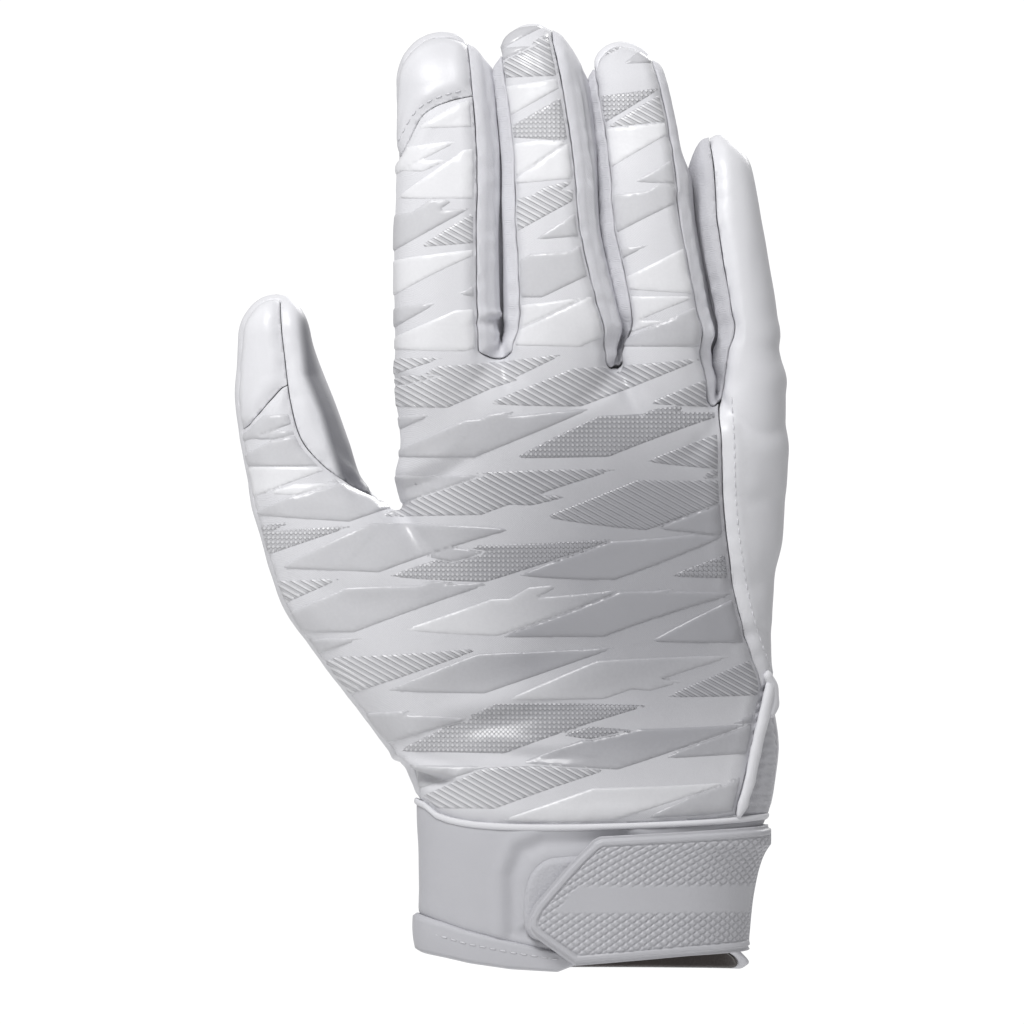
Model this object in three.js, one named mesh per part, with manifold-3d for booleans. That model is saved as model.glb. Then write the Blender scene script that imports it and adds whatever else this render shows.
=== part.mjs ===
// A right-hand football receiver glove in its worn form: thin hollow panels, fourchettes between the
// fingers, a stretch cuff and a hook-and-loop strap. Millimetres. X runs from the thumb to the little
// finger, Y from the back of the hand to the palm, and Z from the cuff's opening up to the fingertips.
// The origin is the middle of the wrist opening.
import * as THREE from "three";
import Module from "manifold-3d";
import { mergeVertices } from "three/addons/utils/BufferGeometryUtils.js";

const wasm = await Module();
wasm.setup();

// Driving dimensions
const CUFF_HEIGHT = 36.5;
const CUFF_WIDTH = 84;
const CUFF_DEPTH = 36;
const PALM_LENGTH = 118;
const HAND_DEPTH = 34;
const HAND_WIDTH = 89.2; // the four fingers' widths side by side
const HAND_SHIFT = 2.1; // the knuckles' middle sits this far to the little-finger side of the cuff's
const FINGER_LENGTH = 82.5;
const FINGER_DEPTH = 20;
const FINGER_GAP = 1.6;
const GAP_RISE = 7; // the gap opens to its full width this far above the crotch
const FINGER_CURL = 11; // how far the fingertips bend towards the palm
const THUMB_LENGTH = 122;
const THUMB_ROOT = 0.08; // the height of the thumb's foot, as a share of the palm's length
const THUMB_WIDTH = 25;
const THUMB_DEPTH = 22;
const THUMB_SPREAD = 45; // from the cuff's edge out to the thumb's outer side
const THUMB_SET = 8; // how far the thumb's tip lies towards the palm

// Walls and trim
const PANEL_WALL = 1.3;
const CUFF_WALL = 2.2;
const LINING_WALL = 1.0;
const LINING_REACH = 26;
const HEM_HEIGHT = 9.5;
const HEM_PROUD = 0.5;
const TAPE_WIDTH = 2.4;
const TAPE_WALL = 1.0;
const PAD_WALL = 1.0;
const STRAP_WALL = 1.4;
const PATCH_WALL = 1.0;
const PATCH_MARGIN = 1.2;
const RIM_WIDTH = 1.8;
const RIM_PROUD = 0.6;
const BINDING_WIDTH = 2.8;
const BINDING_PROUD = 1.0;
const GUSSET_RECESS = 1.2;
const GUSSET_WALL = 1.0;
const CLEARANCE = 0.3; // between neighbouring pieces

// The four fingers, thumb side first: long as a share of the finger length, wide of the hand's width, deep
// of the finger depth. web: height of the finger's root, as a share of the palm's length. arch: how far back
// the finger sits in the hand's arch, as a share of its depth.
const FINGER_SHARES = [
  { name: "index", long: 0.95, wide: 0.294, deep: 1, web: 1, arch: 0.025 },
  { name: "middle", long: 1, wide: 0.258, deep: 1.025, web: 0.99, arch: -0.05 },
  { name: "ring", long: 1, wide: 0.247, deep: 1, web: 0.935, arch: 0 },
  { name: "little", long: 0.78, wide: 0.201, deep: 0.925, web: 0.9, arch: 0.19 },
];
const FINGERS = FINGER_SHARES.map(({ name, long, wide, deep, web, arch }) => {
  return { name, length: long * FINGER_LENGTH, width: wide * HAND_WIDTH, depth: deep * FINGER_DEPTH, web, arch };
});
// Where the back's two edges lie across each finger, at its root and its tip.
const FINGER_SEAMS = [
  { name: "index", root: [0, 0.79], tip: [0, 0.79] },
  { name: "middle", root: [0.1, 0.87], tip: [0.02, 0.72] },
  { name: "ring", root: [0.1, 0.9], tip: [0.04, 0.86] },
  { name: "little", root: [0.14, 1], tip: [0.4, 1] },
];

// Height of each crotch between neighbouring fingers, as a share of the palm's length.
const CROTCHES = [1.0, 0.978, 0.9];
// How wide the space above each crotch is, as a share of the finger gap.
const GAP_SHARES = [1, 1, 0.3];
const WEB_DROP = 5.5; // a fourchette reaches this far below its crotch
const WEB_OVERLAP = 0.3; // neighbouring fingers run into each other by this much at the crotch

// Each finger's width along its length: up from its root, wide as a share of its own width.
const FINGER_WIDTHS = {
  index: [
    { up: 0, wide: 1.01 },
    { up: 0.4, wide: 0.995 },
    { up: 0.6, wide: 1.0 },
    { up: 0.8, wide: 0.95 },
    { up: 1, wide: 0.88 },
  ],
  middle: [
    { up: 0, wide: 1.27 },
    { up: 0.15, wide: 1.17 },
    { up: 0.39, wide: 1.0 },
    { up: 0.58, wide: 0.95 },
    { up: 1, wide: 0.89 },
  ],
  ring: [
    { up: 0, wide: 1.12 },
    { up: 0.2, wide: 1.0 },
    { up: 0.46, wide: 1.0 },
    { up: 0.8, wide: 0.96 },
    { up: 1, wide: 0.9 },
  ],
  little: [
    { up: 0, wide: 1.0 },
    { up: 0.2, wide: 1.0 },
    { up: 0.5, wide: 1.03 },
    { up: 0.75, wide: 0.95 },
    { up: 1, wide: 0.84 },
  ],
};

// How a finger's depth and middle line change along it: deep as a share of its depth, bend of the curl.
const FINGER_PROFILE = [
  { up: -0.45, deep: 0.95, bend: 0.06 },
  { up: -0.2, deep: 1.2, bend: 0 },
  { up: 0, deep: 1.24, bend: -0.02 },
  { up: 0.3, deep: 1.07, bend: 0.02 },
  { up: 0.6, deep: 0.98, bend: 0.28 },
  { up: 0.85, deep: 0.93, bend: 0.68 },
  { up: 1, deep: 0.9, bend: 1 },
];
const FINGER_FORWARD = 4; // the finger roots' middle line lies this far in front of the cuff's
const FINGER_FOOT = -0.42; // where a finger's own form starts, inside the hand
const FOOT_TAPER = 0.25; // how much narrower and thinner that hidden foot is
const TIP_ROUND = 0.5; // the rounded end's height as a share of the finger's width
const THUMB_ROUND = 0.4;
const DOME_STEPS = [1, 0.55, 0.22, 0.03]; // the rounded end's rings, as shares of its height

// Sections of the cuff: up as a share of its height, sides of half its width, front and back of its depth.
const CUFF_SECTIONS = [
  { up: 0, left: 0.95, right: 0.845, front: 0.46, back: 0.5 },
  { up: 0.25, left: 0.985, right: 0.86, front: 0.475, back: 0.515 },
  { up: 0.55, left: 0.985, right: 0.89, front: 0.48, back: 0.52 },
  { up: 0.8, left: 0.99, right: 0.95, front: 0.485, back: 0.52 },
  { up: 0.9, left: 0.995, right: 0.985, front: 0.485, back: 0.52 },
];

// Sections of the hand: up as a share of the palm's length, sides of the knuckles' width from their middle,
// front and back of the hand's depth.
const HAND_SECTIONS = [
  { up: 0.0, left: 0.447, right: 0.435, front: 0.51, back: 0.53 },
  { up: 0.05, left: 0.448, right: 0.453, front: 0.5, back: 0.53 },
  { up: 0.114, left: 0.455, right: 0.464, front: 0.46, back: 0.53 },
  { up: 0.2, left: 0.456, right: 0.47, front: 0.4, back: 0.53 },
  { up: 0.37, left: 0.45, right: 0.456, front: 0.37, back: 0.53 },
  { up: 0.53, left: 0.463, right: 0.468, front: 0.41, back: 0.5 },
  { up: 0.6, left: 0.475, right: 0.484, front: 0.435, back: 0.48 },
  { up: 0.71, left: 0.484, right: 0.49, front: 0.47, back: 0.44 },
  { up: 0.84, left: 0.486, right: 0.495, front: 0.51, back: 0.37 },
  { up: 0.92, left: 0.485, right: 0.495, front: 0.49, back: 0.31 },
  { up: 1, left: 0.46, right: 0.475, front: 0.34, back: 0.2 },
];
const BODY_SQUARENESS = 2.5;
const FINGER_SQUARENESS = 2.3;
const WEB_FALL_FROM = 0.64; // above this share of the palm the hand's rings follow the fall of the crotches

// Sections of the thumb and its web from the foot: outer is its outline's share of the spread, wide of the
// thumb's width, deep of its depth, set of its shift towards the palm.
const THUMB_SECTIONS = [
  { up: 0, outer: -0.03, wide: 0.9, deep: 0.7, set: 0.3 },
  { up: 0.033, outer: 0.067, wide: 1.16, deep: 1.0, set: 0.3 },
  { up: 0.095, outer: 0.2, wide: 1.58, deep: 1.2, set: 0.28 },
  { up: 0.157, outer: 0.322, wide: 1.8, deep: 1.24, set: 0.27 },
  { up: 0.218, outer: 0.455, wide: 1.94, deep: 1.25, set: 0.27 },
  { up: 0.28, outer: 0.573, wide: 2.07, deep: 1.25, set: 0.28 },
  { up: 0.362, outer: 0.728, wide: 2.18, deep: 1.24, set: 0.3 },
  { up: 0.444, outer: 0.811, wide: 2.0, deep: 1.22, set: 0.36 },
  { up: 0.526, outer: 0.878, wide: 1.64, deep: 1.2, set: 0.44 },
  { up: 0.575, outer: 0.917, wide: 1.42, deep: 1.17, set: 0.5 },
  { up: 0.6, outer: 0.928, wide: 1.25, deep: 1.13, set: 0.54 },
  { up: 0.629, outer: 0.939, wide: 1.14, deep: 1.08, set: 0.6 },
  { up: 0.711, outer: 0.983, wide: 1.09, deep: 1.03, set: 0.72 },
  { up: 0.793, outer: 1.005, wide: 0.99, deep: 0.98, set: 0.84 },
  { up: 0.875, outer: 0.994, wide: 0.81, deep: 0.9, set: 0.95 },
  { up: 0.93, outer: 0.985, wide: 0.72, deep: 0.84, set: 1 },
  { up: 1, outer: 0.97, wide: 0.68, deep: 0.8, set: 1.06 },
];

// The main folds of the back: ends across the knuckles' width and up the palm's length, their width and
// depth as shares of the hand's depth. A negative depth is a ridge.
const FOLDS = [
  { name: "thumb web", from: [-0.5, 0.69], to: [-0.36, 0.78], wide: 0.14, deep: 0.06 },
  { name: "wrist crease", from: [-0.46, 0.13], to: [-0.3, 0.105], wide: 0.08, deep: 0.09 },
  { name: "wrist roll", from: [-0.42, 0.2], to: [-0.2, 0.19], wide: 0.13, deep: -0.05 },
  { name: "low fold", from: [-0.3, 0.205], to: [0.0, 0.27], wide: 0.11, deep: 0.05 },
  { name: "middle fold", from: [-0.14, 0.15], to: [0.08, 0.17], wide: 0.09, deep: 0.04 },
];

// The seam down the blade of the hand, across the knuckles' width and up the palm's length.
const ULNAR_SEAM = [
  { across: 0.322, up: 0.895 },
  { across: 0.327, up: 0.81 },
  { across: 0.332, up: 0.685 },
  { across: 0.347, up: 0.57 },
  { across: 0.372, up: 0.455 },
  { across: 0.403, up: 0.37 },
  { across: 0.428, up: 0.315 },
];
const SLIT_TOP = { across: 0.436, up: 0.29 };
const SLIT_FOOT = { across: 0.365, up: 0.0 };
const SLIT_WRAP = 3; // the slit's pieces end this far behind the cuff's middle
const KNOB_HEIGHT = 8; // the binding's folded end at the top of the slit
const KNOB_WRAP = 12; // how far that end reaches round the side
const SIDE_SEAM_FORWARD = 3; // the back's outer edge lies this far in front of the hand's middle line
const PALM_SEAM_SHARE = 0.2; // the fourchettes end this share of a finger's depth behind its middle line
// The thumb's inner seam, across the thumb and up it.
const THUMB_SEAM = [
  { across: 0.55, up: 1.06 },
  { across: 0.6, up: 0.95 },
  { across: 0.6, up: 0.88 },
  { across: 0.56, up: 0.79 },
  { across: 0.58, up: 0.71 },
  { across: 0.74, up: 0.655 },
  { across: 0.93, up: 0.615 },
  { across: 1.02, up: 0.59 },
];
// The fingertip caps' lower seams: up the index finger at its edges and at a bend across it, up the thumb.
const INDEX_TIP_SEAM = { left: 0.6, bend: 0.76, right: 0.83, bendAcross: 0.28 };
const THUMB_TIP_SEAM = { left: 0.73, right: 0.83 };

// The wrist seam above the cuff, across half the cuff's width, its rise a share of the cuff's height.
const WRIST_LINE = [
  { across: -1.3, rise: 0.19 },
  { across: -0.98, rise: 0.165 },
  { across: -0.86, rise: 0.06 },
  { across: -0.62, rise: 0.005 },
  { across: -0.1, rise: -0.005 },
  { across: 0.6, rise: 0.027 },
  { across: 1.1, rise: 0.08 },
  { across: 1.5, rise: 0.08 },
];
// The front's lower edge above the palm side's, a share of the cuff's height, and the hem's share there.
const FRONT_EDGE = [
  { across: -1.3, rise: 0.247, hem: 1 },
  { across: -0.95, rise: 0.15, hem: 1 },
  { across: -0.7, rise: 0.06, hem: 0.87 },
  { across: -0.45, rise: 0.022, hem: 0.75 },
  { across: -0.1, rise: 0.022, hem: 0.55 },
  { across: 0.5, rise: 0.104, hem: 0.5 },
  { across: 1.3, rise: 0.205, hem: 0.5 },
];
// The strap's outline on the front, across half the cuff's width and up its height.
const STRAP_OUTLINE = [
  { across: -0.303, up: 0.38 },
  { across: -0.26, up: 0.48 },
  { across: 0.0, up: 0.87 },
  { across: 0.04, up: 0.9 },
  { across: 1.4, up: 0.99 },
  { across: 1.4, up: 0.23 },
  { across: 0.6, up: 0.15 },
  { across: -0.05, up: 0.055 },
  { across: -0.27, up: 0.25 },
  { across: -0.305, up: 0.3 },
];
// The strap on the palm side: where it is sewn down across half the cuff's width, and its edges' heights.
const STRAP_BEHIND = { end: 0.3, low: 0.24, high: 0.97 };
const PATCH_END = 0.03; // the moulded patch wraps round the side to here, a share of the cuff's depth
const PAD_REACH = 3.5; // the loop pad shows this far beyond the strap's tip
const PAD_END = 0.7; // where it ends under the strap, across half the cuff's width

// Mesh steps
const BODY_SIDES = 24;
const FINGER_SIDES = 12;
const HAND_RINGS = 9;
const CUFF_RINGS = 3;
const FINGER_RINGS = 4;
const THUMB_RINGS = 9;
const SEAM_STEPS = 6;
const FIELD_STEPS = 14;
const CRUMB_SHARE = 0.001;
const SKY = 12; // the seams' outlines run this far above the fingertips
const RUN_OUT = 4; // the hollow forms run this far out through the wrist
// Beyond the glove on every side.
const FAR = 0.55 * (CUFF_HEIGHT + PALM_LENGTH + Math.max(...FINGERS.map((finger) => finger.length)));

const knuckleWidth = FINGERS.reduce((sum, f) => sum + f.width * columnAt(FINGER_WIDTHS[f.name], 0, "wide"), 0);
const handLeft = HAND_SHIFT - knuckleWidth / 2;
const thumbFoot = CUFF_HEIGHT + THUMB_ROOT * PALM_LENGTH;

// A column of a table at a place along it, on a smooth curve through its rows.
function columnAt(rows, up, column) {
  const last = rows.length - 1;
  if (up <= rows[0].up) return rows[0][column];
  if (up >= rows[last].up) return rows[last][column];
  const i = rows.findIndex((row) => row.up > up) - 1;
  const slope = (a, b) => (rows[b][column] - rows[a][column]) / (rows[b].up - rows[a].up);
  const step = rows[i + 1].up - rows[i].up;
  const before = i > 0 ? slope(i - 1, i + 1) : slope(i, i + 1);
  const after = i < last - 1 ? slope(i, i + 2) : slope(i, i + 1);
  const t = (up - rows[i].up) / step;
  return (
    rows[i][column] * (2 * t ** 3 - 3 * t ** 2 + 1) +
    before * step * (t ** 3 - 2 * t ** 2 + t) +
    rows[i + 1][column] * (3 * t ** 2 - 2 * t ** 3) +
    after * step * (t ** 3 - t ** 2)
  );
}

function smooth(from, to, value) {
  const t = THREE.MathUtils.clamp((value - from) / (to - from), 0, 1);
  return t * t * (3 - 2 * t);
}

const palmX = (across) => HAND_SHIFT + across * knuckleWidth;
const palmZ = (up) => CUFF_HEIGHT + up * PALM_LENGTH;
const cuffX = (across) => (across * CUFF_WIDTH) / 2;
const thumbZ = (up) => thumbFoot + up * THUMB_LENGTH;

// The place across the thumb at a height: 0 at its outer side, 1 at its inner side.
function thumbX(up, across) {
  const left = -CUFF_WIDTH / 2 - THUMB_SPREAD * columnAt(THUMB_SECTIONS, up, "outer");
  return left + across * THUMB_WIDTH * columnAt(THUMB_SECTIONS, up, "wide");
}

// The fold table's pull on the front at a place: positive pushes the cloth in.
function foldAt(x, z) {
  const point = new THREE.Vector2(x, z);
  return FOLDS.reduce((sum, fold) => {
    const from = new THREE.Vector2(palmX(fold.from[0]), palmZ(fold.from[1]));
    const along = new THREE.Vector2(palmX(fold.to[0]), palmZ(fold.to[1])).sub(from);
    const t = THREE.MathUtils.clamp(point.clone().sub(from).dot(along) / along.lengthSq(), 0, 1);
    const off = from.addScaledVector(along, t).distanceTo(point) / (fold.wide * HAND_DEPTH);
    return sum + fold.deep * HAND_DEPTH * Math.exp(-off * off * 2);
  }, 0);
}

// A closed ring of points round a section with the given sides, front and back.
function sectionRing({ left, right, front, back, squareness, sides, height, folded }) {
  const middle = (left + right) / 2;
  const reach = (right - left) / 2;
  return Array.from({ length: sides }, (_, i) => {
    const angle = (i / sides) * 2 * Math.PI;
    const c = Math.cos(angle);
    const s = Math.sin(angle);
    const x = middle + reach * Math.sign(c) * Math.abs(c) ** (2 / squareness);
    const centre = (front + back) / 2;
    const y = centre + ((back - front) / 2) * Math.sign(s) * Math.abs(s) ** (2 / squareness);
    const z = height(x);
    const pull = folded && s < 0 ? foldAt(x, z) * -s : 0;
    return [x, y + pull, z];
  });
}

// A closed solid through rings that are stacked upwards.
function loft(rings) {
  const sides = rings[0].length;
  const points = rings.flat();
  const middle = (ring) => ring.reduce((sum, p) => sum.map((v, k) => v + p[k] / sides), [0, 0, 0]);
  const low = points.push(middle(rings[0])) - 1;
  const high = points.push(middle(rings.at(-1))) - 1;
  const top = (rings.length - 1) * sides;
  const faces = [];
  for (let i = 0; i < sides; i++) {
    const j = (i + 1) % sides;
    faces.push([low, j, i], [high, top + i, top + j]);
    for (let r = 0; r < top; r += sides) {
      faces.push([r + i, r + j, r + sides + j], [r + i, r + sides + j, r + sides + i]);
    }
  }
  const geometry = new THREE.BufferGeometry();
  geometry.setAttribute("position", new THREE.Float32BufferAttribute(points.flat(), 3));
  geometry.setIndex(faces.flat());
  return solidOf(geometry);
}

function solidOf(geometry) {
  const bare = geometry.clone();
  bare.deleteAttribute("normal");
  bare.deleteAttribute("uv");
  const merged = mergeVertices(bare, 1e-4);
  return new wasm.Manifold(
    new wasm.Mesh({
      numProp: 3,
      vertProperties: merged.getAttribute("position").array,
      triVerts: new Uint32Array(merged.getIndex().array),
    }),
  );
}

// The fingers' edges at a height: they stand side by side, a gap apart above each crotch.
function fingerEdges(z) {
  let left = handLeft;
  return FINGERS.map((finger, i) => {
    const up = (z - palmZ(finger.web)) / finger.length;
    const wide = finger.width * columnAt(FINGER_WIDTHS[finger.name], up, "wide");
    const edges = { left, right: left + wide };
    const crotch = palmZ(CROTCHES[i] ?? 0);
    const gap = FINGER_GAP * (GAP_SHARES[i] ?? 0);
    left = edges.right + THREE.MathUtils.lerp(-WEB_OVERLAP, gap, smooth(crotch, crotch + GAP_RISE, z));
    return edges;
  });
}

const fingerTop = (finger) => palmZ(finger.web) + finger.length;
const sky = Math.max(...FINGERS.map(fingerTop)) + SKY;
const rootLine = (z) => -FINGER_FORWARD * smooth(palmZ(0.3), palmZ(0.95), z);

// The line midway between a finger's front and back.
function fingerMiddle(finger, z) {
  const up = (z - palmZ(finger.web)) / finger.length;
  return finger.arch * finger.depth - FINGER_FORWARD + FINGER_CURL * columnAt(FINGER_PROFILE, up, "bend");
}

// A round end: how wide a section is, as a share, a given way below the tip.
const domeShare = (below, radius) => Math.sqrt(Math.max(0, 1 - (1 - Math.min(below / radius, 1)) ** 2));

// One finger, drawn in by inset all over.
function fingerSolid(index, inset) {
  const finger = FINGERS[index];
  const top = fingerTop(finger) - inset;
  const foot = palmZ(finger.web) + FINGER_FOOT * finger.length + inset;
  const radius = TIP_ROUND * finger.width;
  const webs = CROTCHES.slice(Math.max(index - 1, 0), index + 1).map(palmZ);
  const root = Math.max(...webs) + GAP_RISE;
  const rise = Array.from({ length: FINGER_RINGS }, (_, k) => root + ((top - radius - root) * k) / FINGER_RINGS);
  const near = webs.flatMap((web) => [web - GAP_RISE / 2, web, web + GAP_RISE]);
  const shaft = [foot, ...near.sort((a, b) => a - b), ...rise].filter((z, k, all) => k === 0 || z > all[k - 1] + 1);
  const dome = DOME_STEPS.map((share) => top - radius * share);
  return loft(
    [...shaft, ...dome].map((z) => {
      const edges = fingerEdges(z)[index];
      const up = (z - palmZ(finger.web)) / finger.length;
      const share = domeShare(top - z, radius) * (1 - FOOT_TAPER * smooth(-0.06, FINGER_FOOT, up));
      const middle = (edges.left + edges.right) / 2;
      const reach = ((edges.right - edges.left) / 2 - inset) * share;
      const deep = ((finger.depth / 2) * columnAt(FINGER_PROFILE, up, "deep") - inset) * share;
      const line = fingerMiddle(finger, z);
      return sectionRing({
        left: middle - reach,
        right: middle + reach,
        front: line - deep,
        back: line + deep,
        squareness: FINGER_SQUARENESS,
        sides: FINGER_SIDES,
        height: () => z,
        folded: false,
      });
    }),
  );
}

// How far the crotch line has fallen below its highest point.
function webFall(x) {
  const from = fingerEdges(palmZ(CROTCHES[0]))[0].right;
  const to = fingerEdges(palmZ(CROTCHES[2]))[2].right;
  const share = THREE.MathUtils.clamp((x - from) / (to - from), 0, 1.2);
  return (CROTCHES[0] - CROTCHES[2]) * PALM_LENGTH * share * share;
}

// The cuff and hand as one form, drawn in by inset; a negative inset gives the trim's outer form.
function bodySolid(inset, reach = 1) {
  const cuffUps = Array.from({ length: CUFF_RINGS }, (_, k) => k / CUFF_RINGS);
  const handUps = Array.from({ length: HAND_RINGS + 1 }, (_, k) => k / HAND_RINGS);
  const foot = inset > 0 ? -RUN_OUT : 0;
  const cuff = cuffUps.map((up) => {
    const row = (column) => columnAt(CUFF_SECTIONS, up, column);
    return ringOfBody(inset, {
      left: cuffX(-row("left")),
      right: cuffX(row("right")),
      front: -row("front") * CUFF_DEPTH,
      back: row("back") * CUFF_DEPTH,
      height: () => (up === 0 ? foot : up * CUFF_HEIGHT),
    });
  });
  const hand = handUps
    .filter((up) => up <= reach)
    .map((up) => {
      const row = (column) => columnAt(HAND_SECTIONS, up, column);
      const fall = Math.max(0, (up - WEB_FALL_FROM) / (1 - WEB_FALL_FROM));
      const drop = Math.max(inset, 0) * (up === 1 ? 1 : 0);
      return ringOfBody(inset, {
        left: palmX(-row("left")),
        right: palmX(row("right")),
        front: -row("front") * HAND_DEPTH,
        back: row("back") * HAND_DEPTH,
        height: (x) => palmZ(up) - fall * webFall(x) - drop,
      });
    });
  return loft([...cuff, ...hand]);
}

function ringOfBody(inset, { left, right, front, back, height }) {
  return sectionRing({
    left: left + inset,
    right: right - inset,
    front: front + inset,
    back: back - inset,
    squareness: BODY_SQUARENESS,
    sides: BODY_SIDES,
    height,
    folded: true,
  });
}

const thumbLine = (up) => THUMB_SET * columnAt(THUMB_SECTIONS, up, "set");

function thumbSolid(inset) {
  const top = thumbZ(1) - inset;
  const foot = thumbZ(0) + inset;
  const radius = THUMB_ROUND * THUMB_WIDTH;
  const shaft = Array.from({ length: THUMB_RINGS }, (_, k) => foot + ((top - radius - foot) * k) / THUMB_RINGS);
  const dome = DOME_STEPS.map((share) => top - radius * share);
  return loft(
    [...shaft, ...dome].map((z) => {
      const up = (z - thumbFoot) / THUMB_LENGTH;
      const share = domeShare(top - z, radius);
      const row = (column) => columnAt(THUMB_SECTIONS, up, column);
      const middle = thumbX(up, 0.5);
      const reach = ((THUMB_WIDTH / 2) * row("wide") - inset) * share;
      const deep = ((THUMB_DEPTH / 2) * row("deep") - inset) * share;
      return sectionRing({
        left: middle - reach,
        right: middle + reach,
        front: thumbLine(up) - deep,
        back: thumbLine(up) + deep,
        squareness: FINGER_SQUARENESS,
        sides: FINGER_SIDES,
        height: () => z,
        folded: true,
      });
    }),
  );
}

function handSolid(inset) {
  const fingers = FINGERS.map((_, i) => fingerSolid(i, inset));
  return fingers.reduce((sum, finger) => sum.add(finger), bodySolid(inset).add(thumbSolid(inset)));
}

// An outline of [x, z] points grown outwards by a margin; its points run anticlockwise.
function grown(outline, margin) {
  return outline.map(([x, z], i) => {
    const [ax, az] = outline.at(i - 1);
    const [bx, bz] = outline[(i + 1) % outline.length];
    const before = new THREE.Vector2(z - az, ax - x).normalize();
    const after = new THREE.Vector2(bz - z, x - bx).normalize();
    const out = before.clone().add(after);
    out.multiplyScalar((2 * margin) / Math.max(out.lengthSq(), 1));
    return [x + out.x, z + out.y];
  });
}

// An outline seen from the front, run through the whole depth.
function prism(outline, margin = 0) {
  const shape = new THREE.Shape(grown(outline, margin).map(([x, z]) => new THREE.Vector2(x, z)));
  const geometry = new THREE.ExtrudeGeometry(shape, { depth: 2 * FAR, bevelEnabled: false });
  geometry.rotateX(Math.PI / 2).translate(0, FAR, 0);
  return solidOf(geometry);
}

// Everything below a surface that gives a height for each place across and along.
function below(heightAt, middle = 0) {
  const geometry = new THREE.BoxGeometry(2 * FAR, 2 * FAR, FAR, FIELD_STEPS, FIELD_STEPS, 1);
  geometry.translate(0, middle, -FAR / 2);
  const spots = geometry.getAttribute("position");
  for (let i = 0; i < spots.count; i++) {
    if (spots.getZ(i) > -1) spots.setZ(i, heightAt(spots.getX(i), spots.getY(i)));
  }
  return geometry;
}

// Everything in front of a surface that gives a depth for each place on the front.
function inFrontOf(depthAt) {
  return solidOf(below((x, y) => depthAt(x, -y), -0.9 * FAR).rotateX(-Math.PI / 2));
}

// The hand's middle surface: the fingers' line over the hand, the thumb's line over the thumb.
function handMiddle(x, z) {
  const finger = FINGERS[0];
  const hand = z > palmZ(finger.web) ? fingerMiddle(finger, z) : rootLine(z);
  const thumb = thumbLine((z - thumbFoot) / THUMB_LENGTH);
  const outwards = smooth(handLeft + THUMB_WIDTH / 4, handLeft - THUMB_WIDTH / 4, x);
  return THREE.MathUtils.lerp(hand, thumb, outwards * smooth(thumbZ(-0.05), thumbZ(0.15), z));
}

function palmSeamDepth(x, z) {
  const edges = fingerEdges(z);
  const line = FINGERS.map((f) => fingerMiddle(f, z) + PALM_SEAM_SHARE * f.depth);
  const middles = edges.map((e) => (e.left + e.right) / 2);
  const i = middles.findIndex((m) => m > x);
  if (i === 0) return line[0];
  if (i < 0) return line.at(-1);
  return THREE.MathUtils.mapLinear(x, middles[i - 1], middles[i], line[i - 1], line[i]);
}

// The seam of the back panel on one side of a finger: 0 for the thumb side, 1 for the other.
function fingerSeamX(index, side, z) {
  const edges = fingerEdges(z)[index];
  const { web, length } = FINGERS[index];
  const { root, tip } = FINGER_SEAMS[index];
  const share = THREE.MathUtils.lerp(root[side], tip[side], (z - palmZ(web)) / length);
  return THREE.MathUtils.lerp(edges.left, edges.right, share);
}

// The fourchette's outline between two fingers: up one seam, over the tips, down the next.
function gapOutline(index) {
  const foot = palmZ(CROTCHES[index]);
  const seamUp = (finger, side) =>
    Array.from({ length: SEAM_STEPS + 1 }, (_, k) => {
      const z = THREE.MathUtils.lerp(foot, fingerTop(FINGERS[finger]), k / SEAM_STEPS);
      return [fingerSeamX(finger, side, z), z];
    });
  const up = seamUp(index + 1, 0);
  const down = seamUp(index, 1).reverse();
  const [left, right] = [down.at(-1)[0], up[0][0]];
  const bottom = [0.3, 0.7].map((share) => [THREE.MathUtils.lerp(left, right, share), foot - WEB_DROP]);
  return [...bottom, ...up, [up.at(-1)[0], sky], [down[0][0], sky], ...down];
}

const wristLine = WRIST_LINE.map(({ across, rise }) => [cuffX(across), (1 + rise) * CUFF_HEIGHT]);
wristLine[0][0] = -FAR;
wristLine.at(-1)[0] = FAR;
const ulnarSeam = ULNAR_SEAM.map(({ across, up }) => [palmX(across), palmZ(up)]);
const slitTop = [palmX(SLIT_TOP.across), palmZ(SLIT_TOP.up)];
const slitFoot = [palmX(SLIT_FOOT.across), wristZ(palmX(SLIT_FOOT.across))];

function wristZ(x) {
  const i = wristLine.findIndex(([edge]) => edge > x);
  return THREE.MathUtils.mapLinear(x, wristLine[i - 1][0], wristLine[i][0], wristLine[i - 1][1], wristLine[i][1]);
}

const thumbSeam = THUMB_SEAM.map(({ across, up }) => [thumbX(up, across), thumbZ(up)]);

// The back panel's outline, anticlockwise from the foot of the slit.
function backOutline() {
  const between = Array.from({ length: SEAM_STEPS + 1 }, (_, k) => {
    const z = THREE.MathUtils.lerp(palmZ(CROTCHES[2]) + FINGER_GAP, sky, k / SEAM_STEPS);
    return [fingerEdges(z)[2].right + FINGER_GAP / 2, z];
  });
  const [innerX, innerZ] = thumbSeam.at(-1);
  const airX = (innerX + handLeft) / 2;
  return [
    slitFoot,
    slitTop,
    ...ulnarSeam.toReversed(),
    ...between,
    [airX, sky],
    [airX, innerZ + FINGER_GAP],
    ...thumbSeam.toReversed(),
    [-FAR, thumbSeam[0][1]],
    ...wristLine.filter(([x]) => x < slitFoot[0]),
  ];
}

// The region above the wrist seam, and the region below it.
const aboveWrist = (margin) => prism([...wristLine, [FAR, 2 * FAR], [-FAR, 2 * FAR]], margin);
const belowWrist = (margin) => prism([[-FAR, -FAR], [FAR, -FAR], ...wristLine.toReversed()], margin);

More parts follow.
